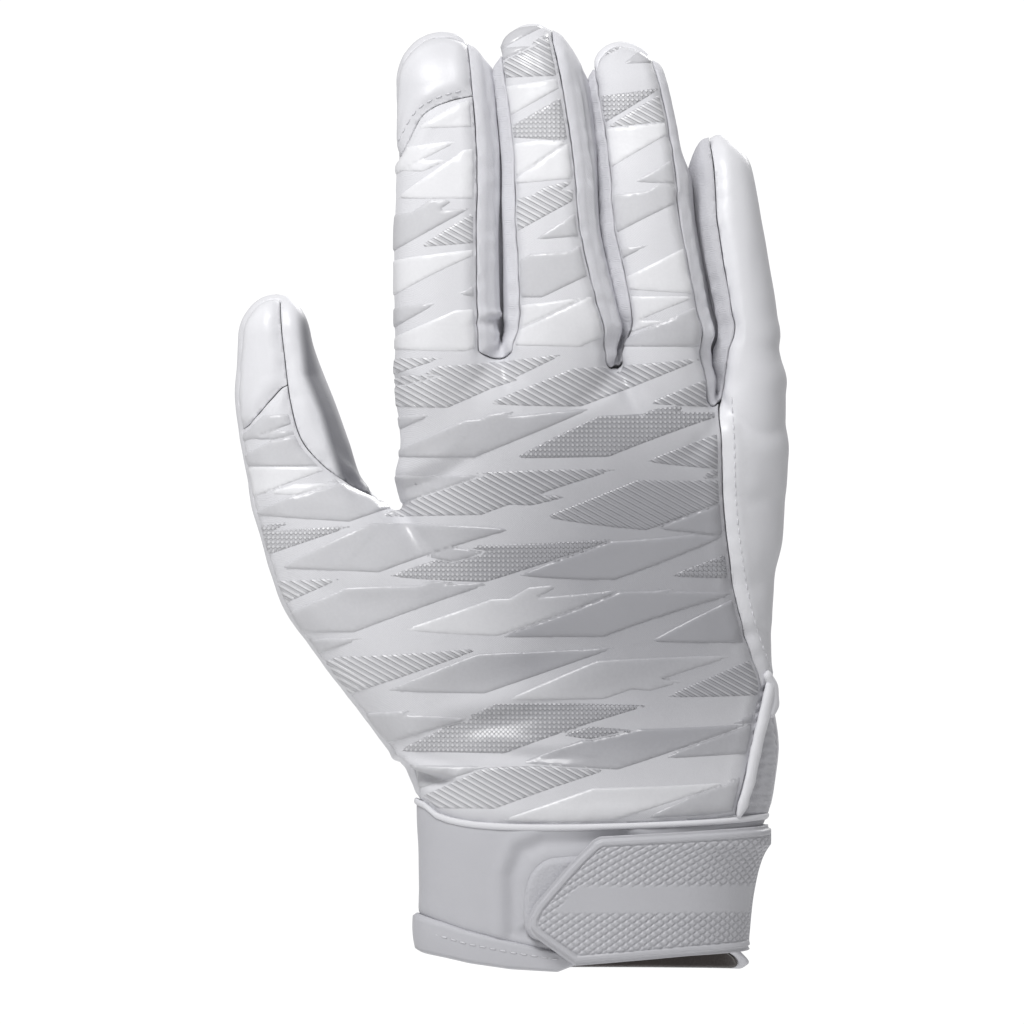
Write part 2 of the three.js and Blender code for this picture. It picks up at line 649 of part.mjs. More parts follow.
// The gusset's wedge from the slit's front edge round the side, and the binding that runs up and over it.
const gussetOutline = [
  [slitFoot[0] + BINDING_WIDTH, slitFoot[1]],
  [FAR, slitFoot[1] + BINDING_WIDTH],
  [FAR, slitTop[1]],
  slitTop,
];
const knobLow = slitTop[1] - 0.6 * KNOB_HEIGHT;
const knobHigh = knobLow + KNOB_HEIGHT;
const bindingOutline = [
  [slitFoot[0] + CLEARANCE, slitFoot[1] + CLEARANCE],
  [slitFoot[0] + BINDING_WIDTH, slitFoot[1] + CLEARANCE],
  [slitTop[0] + 0.2 * BINDING_WIDTH, knobLow],
  [slitTop[0] + KNOB_WRAP, knobLow],
  [slitTop[0] + KNOB_WRAP, knobHigh],
  [slitTop[0] - 0.4 * BINDING_WIDTH, knobHigh],
  [slitTop[0] - BINDING_WIDTH, knobHigh - 0.6 * KNOB_HEIGHT],
];

const sideSeam = (margin) => inFrontOf((x, z) => handMiddle(x, z) - SIDE_SEAM_FORWARD + margin);
const palmSeam = (margin) => inFrontOf((x, z) => palmSeamDepth(x, z) + margin);
const slitSide = (margin) => inFrontOf(() => SLIT_WRAP + margin);

// The caps' outlines: over a lower seam, up to the sky.
function indexTip() {
  const z = (share) => palmZ(FINGERS[0].web) + share * FINGERS[0].length;
  const { left, right } = fingerEdges(z(INDEX_TIP_SEAM.right))[0];
  const outer = left - FINGER_GAP;
  return [
    [outer, z(INDEX_TIP_SEAM.left)],
    [THREE.MathUtils.lerp(left, right, INDEX_TIP_SEAM.bendAcross), z(INDEX_TIP_SEAM.bend)],
    [right, z(INDEX_TIP_SEAM.right)],
    [right, sky],
    [outer, sky],
  ];
}

function thumbTip() {
  const [outer, inner] = [thumbX(THUMB_TIP_SEAM.left, -0.5), thumbX(THUMB_TIP_SEAM.left, 1)];
  return [
    [outer, thumbZ(THUMB_TIP_SEAM.left)],
    [inner, thumbZ(THUMB_TIP_SEAM.right)],
    [inner, sky],
    [outer, sky],
  ];
}

// The hand's panels, cut from one shell along their seams.
function handPanels() {
  const shell = handSolid(0).subtract(handSolid(PANEL_WALL));
  const above = shell.intersect(aboveWrist(-CLEARANCE));
  const gaps = [0, 1, 2].map(gapOutline);
  const cutGaps = gaps.map((g) => prism(g, CLEARANCE).intersect(palmSeam(CLEARANCE))).reduce((a, b) => a.add(b));
  const tips = { index_tip: prism(indexTip()), thumb_tip: prism(thumbTip()) };
  const cutTips = prism(indexTip(), CLEARANCE).add(prism(thumbTip(), CLEARANCE));
  const front = above.intersect(sideSeam(0)).intersect(prism(backOutline())).subtract(cutGaps);
  const binding = prism(bindingOutline, CLEARANCE).intersect(slitSide(CLEARANCE));
  const gusset = prism(gussetOutline, CLEARANCE).intersect(slitSide(CLEARANCE));
  const back = front.subtract(cutTips).subtract(binding).subtract(gusset);
  const palm = above
    .subtract(sideSeam(CLEARANCE).intersect(prism(backOutline(), CLEARANCE)))
    .subtract(cutGaps)
    .subtract(binding)
    .subtract(gusset);
  const panels = { back_panel: back, palm_panel: palm };
  for (const [name, region] of Object.entries(tips)) panels[name] = front.intersect(region);
  gaps.forEach((gap, i) => {
    const name = `fourchette_${FINGERS[i].name}_${FINGERS[i + 1].name}`;
    panels[name] = above.intersect(prism(gap)).intersect(palmSeam(0));
  });
  return panels;
}

// The wrist opening on the little-finger side: a recessed stretch gusset and the binding round its slit.
function slitPieces() {
  const side = slitSide(0);
  const above = aboveWrist(-CLEARANCE);
  const gusset = bodySolid(GUSSET_RECESS, 0.5)
    .subtract(bodySolid(GUSSET_RECESS + GUSSET_WALL, 0.5))
    .intersect(prism(gussetOutline, -CLEARANCE))
    .intersect(side)
    .intersect(above)
    .subtract(prism(bindingOutline, CLEARANCE));
  const binding = bodySolid(-BINDING_PROUD, 0.5)
    .subtract(bodySolid(PANEL_WALL + 1, 0.5))
    .intersect(prism(bindingOutline))
    .intersect(side)
    .intersect(above);
  return { wrist_gusset: gusset, slit_binding: binding };
}

// A column of the lower edge's table at a place across, straight between its rows.
function edgeAt(x, column) {
  const rows = FRONT_EDGE.map((row) => [cuffX(row.across), row[column]]);
  const i = THREE.MathUtils.clamp(rows.findIndex(([edge]) => edge > x), 1, rows.length - 1);
  return THREE.MathUtils.mapLinear(x, rows[i - 1][0], rows[i][0], rows[i - 1][1], rows[i][1]);
}

// Everything below the lower edge, raised by a share of the hem; it falls level across the palm side.
function underEdge(hemShare, margin) {
  return solidOf(
    below((x, y) => {
      const onFront = smooth(CUFF_DEPTH / 4, -CUFF_DEPTH / 4, y);
      const front = Math.max(onFront, smooth(cuffX(-0.35), cuffX(-0.9), x));
      const hem = THREE.MathUtils.lerp(1, edgeAt(x, "hem"), front);
      return front * edgeAt(x, "rise") * CUFF_HEIGHT + hemShare * HEM_HEIGHT * hem + margin;
    }),
  );
}

function cuffPieces() {
  const below = belowWrist(-CLEARANCE);
  const open = underEdge(0, 0);
  const outer = bodySolid(0, 0.3);
  const inner = bodySolid(CUFF_WALL, 0.3);
  const band = outer.subtract(inner).intersect(below).subtract(underEdge(1, CLEARANCE));
  const hem = bodySolid(-HEM_PROUD, 0.3).subtract(inner).intersect(underEdge(1, 0)).subtract(open);
  const liningTop = prism([[-FAR, -FAR], [FAR, -FAR], [FAR, LINING_REACH], [-FAR, LINING_REACH]]);
  const lining = bodySolid(CUFF_WALL + CLEARANCE, 0.3)
    .subtract(bodySolid(CUFF_WALL + CLEARANCE + LINING_WALL, 0.3))
    .intersect(liningTop)
    .subtract(underEdge(0, 0.5));
  const tapeZone = aboveWrist(TAPE_WIDTH / 2).intersect(belowWrist(TAPE_WIDTH / 2));
  const tape = bodySolid(-CLEARANCE - TAPE_WALL, 0.5)
    .subtract(bodySolid(-CLEARANCE, 0.5))
    .intersect(tapeZone)
    .subtract(prism(bindingOutline, CLEARANCE).intersect(slitSide(CLEARANCE)));
  return { cuff_band: band, cuff_hem: hem, cuff_lining: lining, wrist_seam_tape: tape };
}

const strapOutline = STRAP_OUTLINE.map(({ across, up }) => [cuffX(across), up * CUFF_HEIGHT]).toReversed();

function strapPieces() {
  const layer = (from, to) => bodySolid(-to, 0.3).subtract(bodySolid(-from, 0.3));
  const padTop = HEM_PROUD + PAD_WALL;
  const strapFoot = padTop + CLEARANCE;
  const strapTop = strapFoot + STRAP_WALL;
  const patchFoot = strapTop + CLEARANCE;
  const front = slitSide(0);
  const { end, low, high } = STRAP_BEHIND;
  const behind = prism([
    [cuffX(end), low * CUFF_HEIGHT],
    [FAR, low * CUFF_HEIGHT],
    [FAR, high * CUFF_HEIGHT],
    [cuffX(end), high * CUFF_HEIGHT],
  ]);
  const reach = prism(strapOutline).intersect(front).add(behind.subtract(front));
  const strap = layer(strapFoot, strapTop).intersect(reach);
  const patchEnd = inFrontOf(() => PATCH_END * CUFF_DEPTH);
  const field = prism(strapOutline, -PATCH_MARGIN).intersect(patchEnd);
  const inside = prism(strapOutline, -PATCH_MARGIN - RIM_WIDTH);
  const base = layer(patchFoot, patchFoot + PATCH_WALL).intersect(field);
  const rim = layer(patchFoot, patchFoot + PATCH_WALL + RIM_PROUD).intersect(field).subtract(inside);
  const padTip = strapOutline.at(-1)[0] - PAD_REACH;
  const padOutline = [
    [padTip, HEM_HEIGHT + PAD_WALL],
    [cuffX(PAD_END), 0.4 * CUFF_HEIGHT],
    [cuffX(PAD_END), 0.82 * CUFF_HEIGHT],
    [cuffX(-0.2), 0.84 * CUFF_HEIGHT],
    [padTip, 0.6 * CUFF_HEIGHT],
  ];
  const pad = layer(CLEARANCE, CLEARANCE + PAD_WALL).intersect(prism(padOutline)).intersect(front);
  return { loop_pad: pad, strap, strap_patch: base.add(rim) };
}

// Finishes, one for each material of the glove
const fabric = (color, roughness) => new THREE.MeshStandardMaterial({ color, roughness, metalness: 0 });
const MATERIALS = {
  back_panel: fabric(0xe4e4e8, 0.6),
  palm_panel: fabric(0xe9e9ec, 0.35),
  index_tip: fabric(0xe9e9ec, 0.4),
  thumb_tip: fabric(0xe9e9ec, 0.4),
  fourchette_index_middle: fabric(0xd8d8dd, 0.8),
  fourchette_middle_ring: fabric(0xd8d8dd, 0.8),
  fourchette_ring_little: fabric(0xd8d8dd, 0.8),
  wrist_gusset: fabric(0xb9b9be, 0.85),
  slit_binding: fabric(0xe0e0e4, 0.7),
  cuff_band: fabric(0xd6d6da, 0.8),
  cuff_hem: fabric(0xd2d2d6, 0.75),
  cuff_lining: fabric(0x4b4543, 0.9),
  wrist_seam_tape: fabric(0xdcdce0, 0.7),
  loop_pad: fabric(0xd0d0d4, 0.95),
  strap: fabric(0xd4d4d8, 0.7),
  strap_patch: fabric(0xcacace, 0.5),
};

function meshOf(name, solid) {
  const { vertProperties, triVerts, numProp, numVert } = solid.getMesh();
  const positions = new Float32Array(numVert * 3);
  for (let i = 0; i < numVert; i++) positions.set(vertProperties.subarray(i * numProp, i * numProp + 3), i * 3);
  const geometry = new THREE.BufferGeometry();
  geometry.setAttribute("position", new THREE.BufferAttribute(positions, 3));
  geometry.setIndex(new THREE.BufferAttribute(triVerts, 1));
  geometry.computeVertexNormals();
  const mesh = new THREE.Mesh(geometry, MATERIALS[name]);
  mesh.name = name;
  return mesh;
}

// A thin wall's cut can leave crumbs beside the piece itself.
function withoutCrumbs(solid) {
  const least = CRUMB_SHARE * solid.volume();
  return solid
    .decompose()
    .filter((body) => body.volume() > least)
    .reduce((sum, body) => sum.add(body));
}

const glove = new THREE.Group();
const pieces = { ...handPanels(), ...slitPieces(), ...cuffPieces(), ...strapPieces() };
for (const [name, solid] of Object.entries(pieces)) glove.add(meshOf(name, withoutCrumbs(solid)));

export default glove;
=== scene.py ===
import math
from itertools import product

import bpy
import numpy as np
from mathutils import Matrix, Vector
from mathutils.bvhtree import BVHTree
from mathutils.kdtree import KDTree


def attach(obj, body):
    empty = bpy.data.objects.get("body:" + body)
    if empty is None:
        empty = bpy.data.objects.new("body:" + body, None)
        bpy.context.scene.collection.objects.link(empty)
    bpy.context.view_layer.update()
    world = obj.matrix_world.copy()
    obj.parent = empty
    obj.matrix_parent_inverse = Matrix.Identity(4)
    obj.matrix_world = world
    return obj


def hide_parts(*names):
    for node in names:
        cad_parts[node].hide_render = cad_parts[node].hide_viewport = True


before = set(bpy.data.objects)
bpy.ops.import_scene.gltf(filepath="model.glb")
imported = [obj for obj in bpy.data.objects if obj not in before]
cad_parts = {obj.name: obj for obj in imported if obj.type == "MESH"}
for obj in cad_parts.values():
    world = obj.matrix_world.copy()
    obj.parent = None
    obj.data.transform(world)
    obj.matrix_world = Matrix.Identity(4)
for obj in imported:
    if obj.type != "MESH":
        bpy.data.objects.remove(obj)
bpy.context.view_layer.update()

# A right-hand football receiver glove in its worn form, seen from the back of the hand. The glove's sizes
# are in millimetres and are turned into metres when a mesh is written. The flat sizes of the sheets, the
# floor, the lamps and the camera are in metres.
MM = 0.001

# Sizes of the glove in millimetres, and places on it as shares of them.
CUFF_HEIGHT, CUFF_WIDTH, CUFF_DEPTH = 36.5, 84.0, 36.0
PALM_LENGTH, HAND_WIDTH, HAND_DEPTH, HAND_SHIFT = 118.0, 89.2, 34.0, 2.1
FINGER_LENGTH, FINGER_DEPTH, FINGER_GAP, GAP_RISE = 82.5, 20.0, 1.6, 7.0
FINGER_CURL, FINGER_FORWARD, FINGER_FOOT = 11.0, 4.0, -0.42
THUMB_LENGTH, THUMB_WIDTH, THUMB_DEPTH = 122.0, 25.0, 22.0
THUMB_SPREAD, THUMB_SET = 45.0, 8.0
PANEL_WALL, CUFF_WALL, LINING_WALL = 1.2, 2.0, 0.8
HEM_HEIGHT, HEM_PROUD = 9.5, 0.5
TIP_ROUND, THUMB_ROUND = 0.5, 0.4
BODY_SQUARE, FINGER_SQUARE = 2.5, 2.3
WEB_FALL_FROM, WEB_OVERLAP, WEB_DROP = 0.64, 0.3, 1.3
SKY = 12.0

BACK_CELL, PALM_CELL = ((0.75, 0.92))


def table(columns, *rows):
    """A table of numbers as one array for each named column."""
    return {name: np.array([row[i] for row in rows], float) for i, name in enumerate(columns.split())}


# The index, middle, ring and little finger.
FINGERS = [
    dict(long=0.95, wide=0.294, deep=1.0, web=1.0, arch=0.025,
         widths=table("up wide", (0, 1.01), (0.4, 0.995), (0.6, 1.0), (0.8, 0.95), (1, 0.88))),
    dict(long=1.0, wide=0.258, deep=1.025, web=0.99, arch=-0.05,
         widths=table("up wide", (0, 1.27), (0.15, 1.17), (0.39, 1.0), (0.58, 0.95), (1, 0.89))),
    dict(long=1.0, wide=0.247, deep=1.0, web=0.935, arch=0.0,
         widths=table("up wide", (0, 1.12), (0.2, 1.0), (0.46, 1.0), (0.8, 0.96), (1, 0.9))),
    dict(long=0.78, wide=0.201, deep=0.925, web=0.9, arch=0.19,
         widths=table("up wide", (0, 1.0), (0.2, 1.0), (0.5, 1.03), (0.75, 0.95), (1, 0.84))),
]
# Where the back's two edges lie across each finger, at its root and its tip.
FINGER_SEAMS = [((0, 0.79), (0, 0.79)), ((0.1, 0.87), (0.02, 0.72)), ((0.1, 0.9), (0.04, 0.86)),
                ((0.14, 1), (0.4, 1))]
CROTCHES = [1.0, 0.978, 0.9]
GAP_SHARES = [1, 1, 0.3]
FINGER_PROFILE = table("up deep bend", (-0.45, 0.95, 0.06), (-0.2, 1.2, 0), (0, 1.24, -0.02),
                       (0.3, 1.07, 0.02), (0.6, 0.98, 0.28), (0.85, 0.93, 0.68), (1, 0.9, 1))
CUFF_SECTIONS = table("up left right front back", (0, 0.95, 0.845, 0.46, 0.5),
                      (0.25, 0.985, 0.86, 0.475, 0.515), (0.55, 0.985, 0.89, 0.48, 0.52),
                      (0.8, 0.99, 0.95, 0.485, 0.52))
HAND_SECTIONS = table("up left right front back", (0, 0.447, 0.435, 0.51, 0.53),
                      (0.05, 0.448, 0.453, 0.5, 0.53), (0.114, 0.455, 0.464, 0.46, 0.53),
                      (0.2, 0.456, 0.47, 0.4, 0.53),
                      (0.37, 0.45, 0.456, 0.37, 0.53), (0.53, 0.463, 0.468, 0.41, 0.5),
                      (0.6, 0.475, 0.484, 0.435, 0.48), (0.71, 0.484, 0.49, 0.47, 0.44),
                      (0.84, 0.486, 0.495, 0.51, 0.37), (0.92, 0.485, 0.495, 0.49, 0.31),
                      (1, 0.46, 0.475, 0.34, 0.2))
THUMB_SECTIONS = table("up outer wide deep set", (0, -0.03, 0.9, 0.7, 0.3), (0.033, 0.067, 1.16, 1, 0.3),
                       (0.095, 0.2, 1.58, 1.2, 0.28), (0.157, 0.322, 1.8, 1.24, 0.27),
                       (0.218, 0.455, 1.94, 1.25, 0.27), (0.28, 0.573, 2.07, 1.25, 0.28),
                       (0.362, 0.728, 2.18, 1.24, 0.3), (0.444, 0.811, 2, 1.22, 0.36),
                       (0.526, 0.878, 1.64, 1.2, 0.44), (0.575, 0.917, 1.42, 1.17, 0.5),
                       (0.6, 0.928, 1.25, 1.13, 0.54), (0.629, 0.939, 1.14, 1.08, 0.6),
                       (0.711, 0.983, 1.09, 1.03, 0.72), (0.793, 1.005, 0.99, 0.98, 0.84),
                       (0.875, 0.994, 0.81, 0.9, 0.95), (0.93, 0.985, 0.72, 0.84, 1),
                       (1, 0.97, 0.68, 0.8, 1.06))
# The ridge between the thumb's back and its inner face.
THUMB_RIDGE = table("z x", (112, -56.5), (121, -59.5), (132, -63), (139, -65), (149, -69), (162, -70.2),
                    (170, -71))
ULNAR_SEAM = [(0.322, 0.895), (0.327, 0.81), (0.332, 0.685), (0.347, 0.57), (0.372, 0.455), (0.403, 0.37),
              (0.428, 0.315)]
SLIT_TOP, SLIT_FOOT = (0.436, 0.29), (0.365, 0.0)
THUMB_SEAM = [(0.55, 1.06), (0.6, 0.95), (0.6, 0.88), (0.56, 0.79), (0.58, 0.71), (0.74, 0.655),
              (0.93, 0.615), (1.02, 0.59)]
WRIST_LINE = [(-1.3, 0.19), (-0.98, 0.165), (-0.86, 0.06), (-0.62, 0.005), (-0.1, -0.005), (0.6, 0.027),
              (1.1, 0.08), (1.5, 0.08)]
FRONT_EDGE = table("across rise hem", (-1.3, 0.247, 1), (-0.95, 0.12, 1), (-0.7, 0.06, 0.87),
                   (-0.45, 0.022, 0.75), (-0.16, 0.004, 0.55), (0.0, 0.07, 0.5), (0.5, 0.112, 0.5),
                   (1.3, 0.19, 0.5))
STRAP_OUTLINE = [(-0.303, 0.38), (-0.27, 0.47), (0.0, 0.905), (0.04, 0.93), (1.0, 1.0), (1.0, 0.15),
                 (0.6, 0.115), (-0.05, 0.05), (-0.27, 0.25), (-0.305, 0.3)]

palm_x = lambda across: HAND_SHIFT + across * KNUCKLES
palm_z = lambda up: CUFF_HEIGHT + up * PALM_LENGTH
cuff_x = lambda across: across * CUFF_WIDTH / 2
THUMB_FOOT = CUFF_HEIGHT + 0.08 * PALM_LENGTH
thumb_z = lambda up: THUMB_FOOT + up * THUMB_LENGTH


def curve(at, x, y):
    """A smooth curve through the points (x, y), level beyond its ends."""
    slope = np.empty(len(x))
    slope[1:-1] = (y[2:] - y[:-2]) / (x[2:] - x[:-2])
    slope[0] = (y[1] - y[0]) / (x[1] - x[0])
    slope[-1] = (y[-1] - y[-2]) / (x[-1] - x[-2])
    at = np.clip(at, x[0], x[-1])
    i = np.clip(np.searchsorted(x, at, side="right") - 1, 0, len(x) - 2)
    step = x[i + 1] - x[i]
    t = (at - x[i]) / step
    return (y[i] * (2 * t**3 - 3 * t**2 + 1) + slope[i] * step * (t**3 - 2 * t**2 + t)
            + y[i + 1] * (3 * t**2 - 2 * t**3) + slope[i + 1] * step * (t**3 - t**2))


def smooth(start, end, value):
    t = np.clip((value - start) / (end - start), 0, 1)
    return t * t * (3 - 2 * t)


def mix(a, b, t):
    return a + (b - a) * t


def hump(value, middle, wide):
    """One at the middle, and softly down to nought on both sides."""
    return np.exp(-(((value - middle) / wide) ** 2))


KNUCKLES = sum(f["wide"] * HAND_WIDTH * f["widths"]["wide"][0] for f in FINGERS)
HAND_LEFT = HAND_SHIFT - KNUCKLES / 2
HEIGHTS = np.arange(-30.0, 262.0, 0.25)
# The cloth over each fingertip stands this much above the finger's own length.
TIP_CLOTH, THUMB_CLOTH = (1.9, 1.1, 3.0, 2.4), 1.0
for finger, cloth in zip(FINGERS, TIP_CLOTH):
    finger["length"] = finger["long"] * FINGER_LENGTH
    finger["top"] = palm_z(finger["web"]) + finger["length"] + cloth


def dome(below, radius):
    """The share of its width that a rounded end still has, a given way below its tip."""
    return np.sqrt(np.clip(1 - (1 - np.clip(below / radius, 0, 1)) ** 2, 0, 1))


# The ring and the little finger stand this much further apart than their seams, so that their strips fit.
LITTLE_ROOM = 0.5
# No section gets thinner than this at a rounded end.
THINNEST = 0.05


def finger_lines():
    """Each finger's edges, middle line and half sizes at every height."""
    left = np.full(len(HEIGHTS), HAND_LEFT)
    lines = []
    for i, f in enumerate(FINGERS):
        up = (HEIGHTS - palm_z(f["web"])) / f["length"]
        wide = f["wide"] * HAND_WIDTH * curve(up, f["widths"]["up"], f["widths"]["wide"])
        right = left + wide
        taper = 1 - 0.25 * (1 - smooth(FINGER_FOOT, -0.06, up))
        share = dome(f["top"] - HEIGHTS, TIP_ROUND * f["wide"] * HAND_WIDTH) * taper
        deep = f["deep"] * FINGER_DEPTH / 2 * curve(up, FINGER_PROFILE["up"], FINGER_PROFILE["deep"])
        middle = (f["arch"] * f["deep"] * FINGER_DEPTH - FINGER_FORWARD
                  + FINGER_CURL * curve(up, FINGER_PROFILE["up"], FINGER_PROFILE["bend"]))
        inset = LITTLE_ROOM * smooth(palm_z(CROTCHES[2]), palm_z(CROTCHES[2]) + GAP_RISE, HEIGHTS)
        room = inset * (i == 2), inset * (i == 3)
        lines.append(dict(left=left, right=right, cx=(left + right - room[0] + room[1]) / 2, cy=middle,
                          rx=np.maximum((wide - sum(room)) / 2 * share, THINNEST),
                          ry=np.maximum(deep * share, THINNEST), top=f["top"],
                          foot=palm_z(f["web"]) + FINGER_FOOT * f["length"]))
        if i < 3:
            opening = smooth(palm_z(CROTCHES[i]), palm_z(CROTCHES[i]) + GAP_RISE, HEIGHTS)
            left = right + mix(-WEB_OVERLAP, FINGER_GAP * GAP_SHARES[i], opening)
    return lines


FINGER_LINES = finger_lines()


def thumb_line():
    up = (HEIGHTS - THUMB_FOOT) / THUMB_LENGTH
    row = lambda column: curve(up, THUMB_SECTIONS["up"], THUMB_SECTIONS[column])
    left = -CUFF_WIDTH / 2 - THUMB_SPREAD * row("outer")
    wide = THUMB_WIDTH * row("wide")
    share = dome(thumb_z(1) + THUMB_CLOTH - HEIGHTS, THUMB_ROUND * THUMB_WIDTH)
    return dict(left=left, right=left + wide, cx=left + wide / 2, rx=np.maximum(wide / 2 * share, THINNEST),
                cy=THUMB_SET * row("set"), ry=np.maximum(THUMB_DEPTH / 2 * row("deep") * share, THINNEST),
                top=thumb_z(1) + THUMB_CLOTH, foot=THUMB_FOOT)


THUMB_LINE = thumb_line()


def body_rows():
    """The cuff's and the hand's sections as one list of heights and half sizes."""
    cuff, hand = CUFF_SECTIONS, HAND_SECTIONS
    level = np.concatenate([cuff["up"] * CUFF_HEIGHT, palm_z(hand["up"])])
    left = np.concatenate([cuff_x(-cuff["left"]), palm_x(-hand["left"])])
    right = np.concatenate([cuff_x(cuff["right"]), palm_x(hand["right"])])
    front = np.concatenate([-cuff["front"] * CUFF_DEPTH, -hand["front"] * HAND_DEPTH])
    back = np.concatenate([cuff["back"] * CUFF_DEPTH, hand["back"] * HAND_DEPTH])
    at = lambda y: curve(HEIGHTS, level, y)
    return dict(cx=(at(left) + at(right)) / 2, rx=(at(right) - at(left)) / 2, cy=(at(front) + at(back)) / 2,
                ry=(at(back) - at(front)) / 2)


BODY_LINE = body_rows()


def at_height(line, column, z):
    return np.interp(z, HEIGHTS, line[column])


def sizes_at(line, z):
    """The middle and half width of a section, then its middle and half depth."""
    return [at_height(line, column, z) for column in ("cx", "rx", "cy", "ry")]


WEB_FROM = at_height(FINGER_LINES[0], "right", palm_z(CROTCHES[0]))
WEB_TO = at_height(FINGER_LINES[2], "right", palm_z(CROTCHES[2]))


def web_fall(x):
    share = np.clip((x - WEB_FROM) / (WEB_TO - WEB_FROM), 0, 1.2)
    return (CROTCHES[0] - CROTCHES[2]) * PALM_LENGTH * share**2


def section_distance(x, y, cx, rx, cy, ry, square):
    """Roughly how far a point is from a section's rim, along the line to its middle."""
    dx, dy = x - cx, y - cy
    rim = (np.abs(dx / rx) ** square + np.abs(dy / ry) ** square) ** (1 / square)
    return np.sqrt(dx * dx + dy * dy) * (1 - 1 / np.maximum(rim, 1e-4))


def tube(x, y, z, line):
    side = section_distance(x, y, *sizes_at(line, z), FINGER_SQUARE)
    return np.maximum(np.maximum(side, z - line["top"]), line["foot"] - z)


def level_at(x, z):
    """A place's height in the hand's sections, which fall with the crotches towards the little finger."""
    up = (z - CUFF_HEIGHT) / PALM_LENGTH
    fall = web_fall(x) / (1 - WEB_FALL_FROM)
    high = (z - CUFF_HEIGHT - fall * WEB_FALL_FROM) / (PALM_LENGTH - fall)
    return palm_z(np.where(up > WEB_FALL_FROM, high, up))


def soft_min(a, b, reach):
    near = np.maximum(reach - np.abs(a - b), 0) / reach
    return np.minimum(a, b) - near * near * reach / 4


def soft_max(a, b, reach):
    return -soft_min(-a, -b, reach)


# How far the forms blend into each other.
CROTCH_BLEND, THUMB_BLEND, FINGER_BLEND = 7, 4, 2.5


def body(x, y, z):
    level = level_at(x, z)
    side = section_distance(x, y, *sizes_at(BODY_LINE, level), BODY_SQUARE)
    return soft_max(side, level - palm_z(1), CROTCH_BLEND)


def hand(x, y, z):
    """The glove's outer form as one field, negative inside."""
    trunk = soft_min(body(x, y, z), tube(x, y, z, THUMB_LINE), THUMB_BLEND)
    fingers = [tube(x, y, z, line) for line in FINGER_LINES]
    return soft_min(trunk, np.minimum.reduce(fingers), FINGER_BLEND)


# Meshes as arrays of points and triangles.
def quads_to_triangles(points, quads):
    a, b, c, d = (points[quads[:, k]][:, :3] for k in range(4))
    short = np.linalg.norm(a - c, axis=1) <= np.linalg.norm(b - d, axis=1)
    one = np.where(short[:, None], quads[:, [0, 1, 2]], quads[:, [0, 1, 3]])
    two = np.where(short[:, None], quads[:, [0, 2, 3]], quads[:, [1, 2, 3]])
    return np.concatenate([one, two])


def field_slope(field, p, step=0.2):
    out = np.empty_like(p)
    for k in range(3):
        shift = np.zeros(3)
        shift[k] = step
        out[:, k] = (field(*(p + shift).T) - field(*(p - shift).T)) / (2 * step)
    return out


def field_mesh(field, low, high, cell):
    """The zero surface of a field as triangles, one point in each cell that it crosses, drawn on to it."""
    low = np.array(low, float)
    axes = [np.arange(a, b + cell, cell) for a, b in zip(low, high)]
    value = field(axes[0][:, None, None], axes[1][None, :, None], axes[2][None, None, :])
    inside = value < 0
    count = np.array(value.shape) - 1
    corners = [inside[i:i + count[0], j:j + count[1], k:k + count[2]]
               for i, j, k in product((0, 1), repeat=3)]
    active = np.logical_or.reduce(corners) & ~np.logical_and.reduce(corners)
    cells = np.argwhere(active)
    index = np.full(active.shape, -1)
    index[active] = np.arange(len(cells))
    total, hits = np.zeros((len(cells), 3)), np.zeros(len(cells))
    quads = []
    for axis in range(3):
        along = np.eye(3, dtype=int)[axis]
        u, v = np.eye(3, dtype=int)[(axis + 1) % 3], np.eye(3, dtype=int)[(axis + 2) % 3]
        for i, j in product((0, 1), repeat=2):
            a = cells + i * u + j * v
            b = a + along
            fa, fb = value[tuple(a.T)], value[tuple(b.T)]
            cross = (fa < 0) != (fb < 0)
            t = fa[cross] / (fa[cross] - fb[cross])
            total[cross] += a[cross] + t[:, None] * along
            hits[cross] += 1
        inner = [slice(0, count[k]) if k == axis else slice(1, count[k]) for k in range(3)]
        ahead = [slice(1, count[k] + 1) if k == axis else slice(1, count[k]) for k in range(3)]
        start, end = inside[tuple(inner)], inside[tuple(ahead)]
        for flip in (False, True):
            spot = np.argwhere((end & ~start) if flip else (start & ~end))
            spot = spot + np.array([s.start for s in inner])
            ring = [spot - u - v, spot - v, spot, spot - u]
            if flip:
                ring.reverse()
            quads.append(np.stack([index[tuple(r.T)] for r in ring], 1))
    points = low + cell * total / hits[:, None]
    for _ in range(3):
        slope = field_slope(field, points)
        steep = np.maximum((slope * slope).sum(1), 0.2)
        move = (field(*points.T) / steep)[:, None] * slope
        size = np.maximum(np.linalg.norm(move, axis=1, keepdims=True), 1e-9)
        points -= move * np.minimum(1, 0.5 * cell / size)
    quads = np.concatenate(quads)
    return points, quads_to_triangles(points, quads[(quads >= 0).all(1)])


def compact(points, faces):
    used = np.unique(faces)
    number = np.full(len(points), -1)
    number[used] = np.arange(len(used))
    return points[used], number[faces]


def edges_of(faces):
    pairs = np.sort(np.concatenate([faces[:, [0, 1]], faces[:, [1, 2]], faces[:, [2, 0]]]), axis=1)
    return np.unique(pairs, axis=0, return_inverse=True, return_counts=True)


# Within this share of an edge, a corner is drawn on to the line that cuts it.
CLOSE = 0.22


